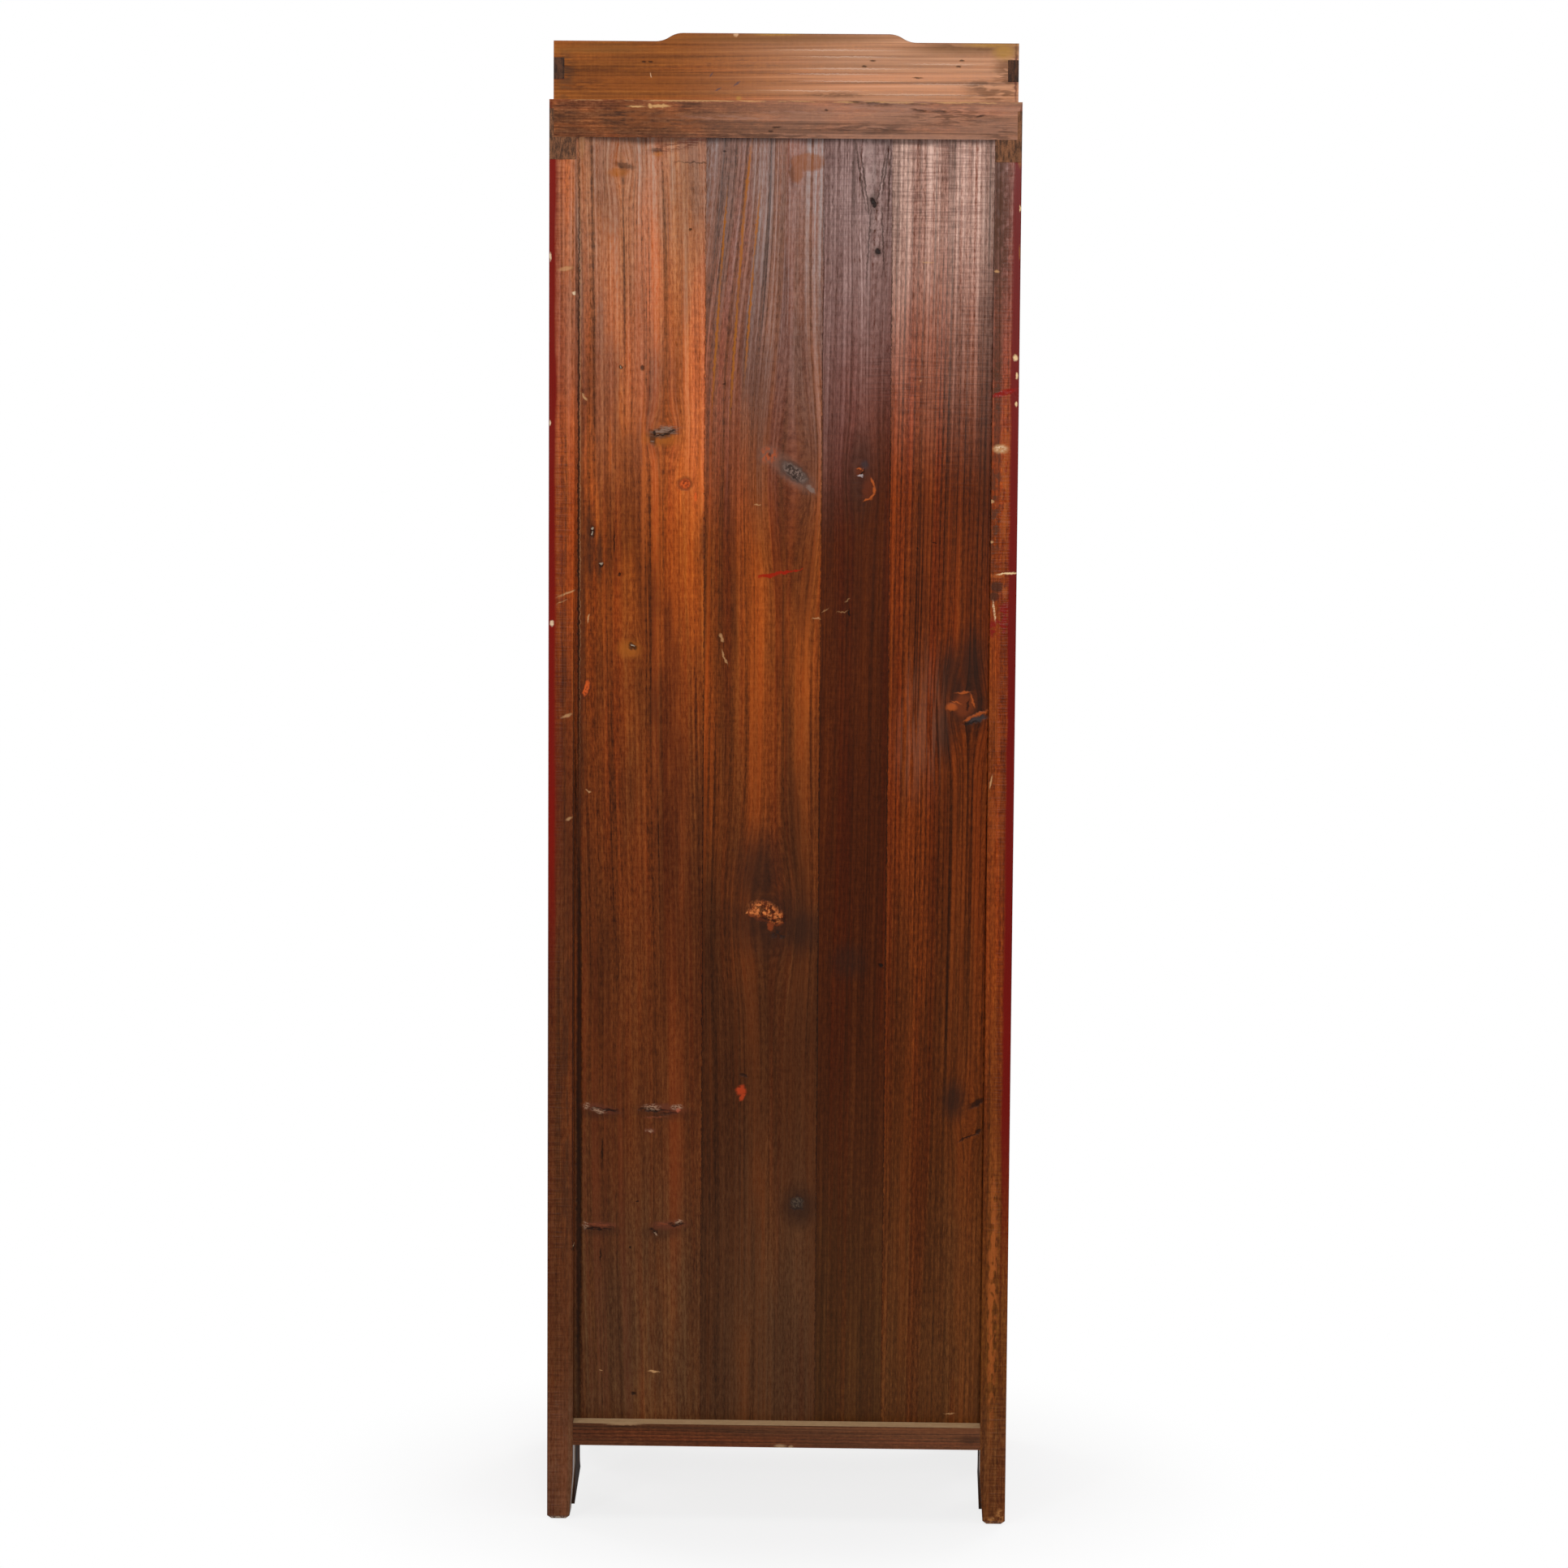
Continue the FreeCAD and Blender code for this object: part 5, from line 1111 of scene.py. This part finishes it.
def beadFrame(low, high, face, axis, outward, scale=1.0):
    # a moulding mitred round an opening; low and high are its corners in the face's own plane
    rings = []
    for corner in range(4):
        ring = []
        for inset, lift in panelBead["profile"]:
            u = low[0] + inset * scale if corner in (0, 3) else high[0] - inset * scale
            v = low[1] + inset * scale if corner in (0, 1) else high[1] - inset * scale
            depth = face + outward * lift * scale
            ring.append((u, depth, v) if axis == "y" else (depth, u, v))
        rings.append(ring)
    return ringsToSkin(rings, closed=True)


def makeBeads():
    for hand, way in hands:
        start, end = sorted(way * across for across in panelBead["doorAcross"])
        frames = [beadFrame((start, low), (end, high), panelBead["doorFace"], "y", -1)
                  for low, high in panelBead["doorUp"]]
        addPiece(f"door_{hand}_bead", joinLists(frames), doorLevel, f"door_{hand}", smooth=False)
        low, high, face = panelBead["sideLow"], panelBead["sideHigh"], way * panelBead["sideFace"]
        bead = beadFrame(low, high, face, "x", way, panelBead["sideScale"])
        addPiece(f"side_bead_{hand}", bead, deepWise, "case", smooth=False)


hingeFace = -211.5  # the front of all brass plates
pullMiddle = 985.0  # height of the door plates' cross pins
bailMiddle = 183.0  # height of the drawer plate's middle

nail = {
    "radius": 2.3, "rise": 1.1, "sides": 10, "dome": (1.0, 0.93, 0.75, 0.42, 0.06),
    # places on a hinge leaf, on a half-round plate and on the drawer's plate
    "leaf": ((-4.5, 9.0), (4.5, 33.0), (-4.5, 57.0)), "plate": ((6.5, 26.0), (6.5, -26.0), (27.5, 4.0)),
    "drawer": ((-50, 0), (50, 0), (0, 13), (0, -13)),
    "frameLeaf": 268.8, "doorLeaf": 236.0, "hingeLevels": (440.2, 1472.8),
}


def nailHead(x, y, z):
    # a low dome on a plate that faces the front
    rings = []
    for share in nail["dome"]:
        radius = nail["radius"] * share
        lift = nail["rise"] * math.sqrt(1 - share * share)
        rings.append([(x + radius * math.cos(a), y - lift, z + radius * math.sin(a))
                      for a in circle(nail["sides"])])
    return ringsToSkin(rings)


def makeNails():
    frameNails = []
    for hand, way in hands:
        doorNails = []
        for low in nail["hingeLevels"]:
            for across, up in nail["leaf"]:
                frameNails.append(nailHead(way * nail["frameLeaf"] + across, hingeFace, low + up))
                doorNails.append(nailHead(way * nail["doorLeaf"] - across, hingeFace, low + up))
        for across, up in nail["plate"]:
            doorNails.append(nailHead(way * across, hingeFace, pullMiddle + up))
        addPiece(f"door_{hand}_nails", joinLists(doorNails), brassWork, f"door_{hand}")
    addPiece("frame_hinge_nails", joinLists(frameNails), brassWork, "case")
    plateNails = [nailHead(x, hingeFace, bailMiddle + z) for x, z in nail["drawer"]]
    addPiece("drawer_plate_nails", joinLists(plateNails), brassWork, "drawer")


plateRim = {
    "thickness": 0.7, "sides": 8, "doorRadius": 30.6, "left": (100, 260), "right": (80, -80),
    "drawerRadius": 17.6, "drawerReach": 38.0,
}


def makeRims():
    # a raised rim near the edge of each plate
    def thin(share):
        return plateRim["thickness"]

    for hand in ("left", "right"):
        path = bend((0, pullMiddle), plateRim["doorRadius"], *plateRim[hand], hingeFace, 33)
        rim = bentRod(path, thin, plateRim["sides"])
        addPiece(f"door_{hand}_plate_rim", rim, brassWork, f"door_{hand}")
    reach, radius = plateRim["drawerReach"], plateRim["drawerRadius"]
    path = bend((reach, bailMiddle), radius, 90, -90, hingeFace, 17)
    path += bend((-reach, bailMiddle), radius, 270, 90, hingeFace, 17) + path[:1]
    addPiece("drawer_plate_rim", bentRod(path, thin, plateRim["sides"]), brassWork, "drawer")


bail = {
    "y": -220.0, "pivot": 192.0, "drop": 30.0, "reach": 51.0, "corner": 6.0, "ends": 34.0,
    "rod": 2.1, "belly": 0.45, "chamfer": 0.2, "stations": (30, 15, 0, -15, -30),
}


def makeBail():
    z, low = bail["pivot"], bail["pivot"] - bail["drop"]
    reach, corner = bail["reach"], bail["corner"]
    right = bend((reach - corner, z - corner), corner, 90, 0, bail["y"])
    right += bend((reach - corner, low + corner), corner, 0, -90, bail["y"])
    left = [(-x, y, height) for x, y, height in reversed(right)]
    middle = [(x, bail["y"], low) for x in bail["stations"]]
    path = [(bail["ends"], bail["y"], z)] + right + middle + left + [(-bail["ends"], bail["y"], z)]

    def swelling(share):
        # thicker towards the middle of the grip
        chamfer = bail["chamfer"] if share in (0, 1) else 0
        return bail["rod"] + bail["belly"] * math.sin(math.pi * share) ** 3 - chamfer

    addPiece("bail_rod", bentRod(path, swelling), brassWork, "bail", stands=("drawer_bail",))


drop = {
    "y": -218.0, "aside": 18.0, "top": 2.6, "length": 36.0, "neck": 2.0, "bulb": 7.5, "tip": 0.05, "swell": 2.1,
    # thick: the most half thickness, at the neck, its growth with the width, and the width where the tip thins
    "thick": (2.0, 0.9, 0.2, 2.2), "flat": 0.2, "rings": 27, "sides": 20,
    # the eye round the pin, as (across, radius)
    "eye": ((-2.4, 2.9), (-1.9, 3.35), (1.9, 3.35), (2.4, 2.9), (2.4, 1.75), (-2.4, 1.75)),
}


def dropHalfWidth(down):
    # half width of the drop at a distance below the pin
    if down < drop["length"]:
        share = down / drop["length"]
        return drop["neck"] + (drop["bulb"] - drop["neck"]) * share ** drop["swell"]
    past = min((down - drop["length"]) / drop["bulb"], 1.0)
    return drop["bulb"] * math.sqrt(1 - past * past)


def makeDrops():
    for hand, way in hands:
        x, y = way * drop["aside"], drop["y"]
        rings = []
        span = drop["length"] + drop["bulb"] - drop["top"] - drop["tip"]
        for number in range(drop["rings"]):
            down = drop["top"] + span * number / (drop["rings"] - 1)
            half = max(dropHalfWidth(down), drop["tip"])
            most, neck, growth, thin = drop["thick"]
            thick = min(most, neck + half * growth) * min(1.0, half / thin)
            ring = []
            for angle in circle(drop["sides"]):
                across, out = math.cos(angle), math.sin(angle)
                ring.append((x + half * across, y + thick * out * abs(out) ** drop["flat"], pullMiddle - down))
            rings.append(ring)
        parts = [ringsToSkin(rings)]
        eyeRings = []
        for across, radius in drop["eye"]:
            eyeRings.append([(x + across, y + radius * math.cos(a), pullMiddle + radius * math.sin(a))
                             for a in circle(drop["sides"])])
        parts.append(ringsToSkin(eyeRings, closed=True))
        plain = f"door_{hand}_pull_drop"
        addPiece(f"drop_{hand}_pear", joinLists(parts), brassWork, f"drop_{hand}", stands=(plain,))


makeBeads()
makeNails()
makeRims()
makeBail()
makeDrops()
print("mouldings, nails, rims, bail and drops")


# Floor, light and camera

# near and clear: the floor glows a little less close to the feet, so that their shadow shows
stageLook = {
    "size": 60.0, "floor": tone(240, 240, 240), "near": 0.8, "clear": (0.26, 0.66), "world": 0.24,
}


def seenRays(f):
    # 1 for the rays of the lens, of reflections and of what is seen through
    rays = f.node("LightPath")
    return rays.most(rays.output(3)).most(rays.output(6))


def makeStage():
    mesh = bpy.data.meshes.new("floor")
    half = stageLook["size"] / 2
    corners = [(-half, -half, 0), (half, -half, 0), (half, half, 0), (-half, half, 0)]
    mesh.from_pydata(corners, [], [(0, 1, 2, 3)])
    floor = bpy.data.objects.new("floor", mesh)
    scene.collection.objects.link(floor)
    f = Finish("paleFloor")
    paint = f.node("BsdfDiffuse", {}, {"Color": stageLook["floor"]})
    glow = f.node("Emission", {}, {"Color": (1, 1, 1, 1), "Strength": 1.0})
    seen = seenRays(f)
    spread = f.node("VectorMath", {"operation": "LENGTH"}, {0: f.node("TexCoord", output=3)}, output=1)
    clear = spread.rise(*stageLook["clear"], stageLook["near"], 1.0)
    surface = f.node("MixShader", {}, {0: seen * clear, 1: paint, 2: glow})
    f.node("OutputMaterial", {}, {"Surface": surface})
    mesh.materials.append(f.material)


def makeWorld():
    # a soft grey that lights, and plain white where it is seen
    scene.world = bpy.data.worlds.new("studio")
    f = Finish("studio", scene.world)
    seen = seenRays(f)
    soft = f.node("Background", {}, {"Color": (1, 1, 1, 1), "Strength": stageLook["world"]})
    white = f.node("Background", {}, {"Color": (1, 1, 1, 1), "Strength": 1.0})
    surface = f.node("MixShader", {}, {0: seen, 1: soft, 2: white})
    f.node("OutputWorld", {}, {"Surface": surface})


lamps = {
    "sheenBox": {"at": (-0.6, 5.9, 2.1), "to": (0, 0.2, 1.2), "size": (0.9, 0.7), "power": 118},
    "sideKey": {"at": (2.4, 4.6, 2.2), "to": (0, 0.2, 0.9), "size": (0.5, 1.2), "power": 44},
    "overhead": {"at": (0, 0.4, 4.4), "to": (0, 0, 0), "size": (2.5, 2.5), "power": 60},
    "frontFill": {"at": (-2.4, -4.6, 2.8), "to": (0, -0.2, 0.9), "size": (2.0, 2.0), "power": 110},
    "frontSide": {"at": (3.6, -3.2, 2.0), "to": (0, -0.2, 0.9), "size": (1.6, 1.6), "power": 60},
}


def makeLamps():
    for name, lamp in lamps.items():
        light = bpy.data.lights.new(name, "AREA")
        light.shape = "RECTANGLE"
        light.size, light.size_y = lamp["size"]
        light.energy = lamp["power"]
        stand = bpy.data.objects.new(name, light)
        scene.collection.objects.link(stand)
        stand.location = lamp["at"]
        aim = Vector(lamp["to"]) - Vector(lamp["at"])
        stand.rotation_euler = aim.to_track_quat("-Z", "Y").to_euler()


camera = {
    "at": (-0.13, 6.01, 1.65), "pitch": -6.363, "yaw": 1.252, "roll": 0.409,
    "lens": 109.72, "sensor": 36.0, "shift": -0.04, "clip": 100.0,
}


def makeCamera():
    lens = bpy.data.cameras.new("camera")
    lens.sensor_width = camera["sensor"]
    lens.lens = camera["lens"]
    lens.shift_y = camera["shift"]
    lens.clip_end = camera["clip"]
    eye = bpy.data.objects.new("camera", lens)
    scene.collection.objects.link(eye)
    pitch, yaw, roll = (math.radians(camera[key]) for key in ("pitch", "yaw", "roll"))
    aim = Vector((math.sin(yaw) * math.cos(pitch), -math.cos(yaw) * math.cos(pitch), math.sin(pitch)))
    side = aim.cross(Vector((0, 0, 1))).normalized()
    up = side.cross(aim)
    right = side * math.cos(roll) + up * math.sin(roll)
    top = up * math.cos(roll) - side * math.sin(roll)
    turn = Matrix((right, top, -aim)).transposed()
    eye.matrix_world = Matrix.Translation(camera["at"]) @ turn.to_4x4()
    scene.camera = eye


makeStage()
makeWorld()
makeLamps()
makeCamera()
scene.view_settings.view_transform = "Standard"
print("stage, lamps and camera")
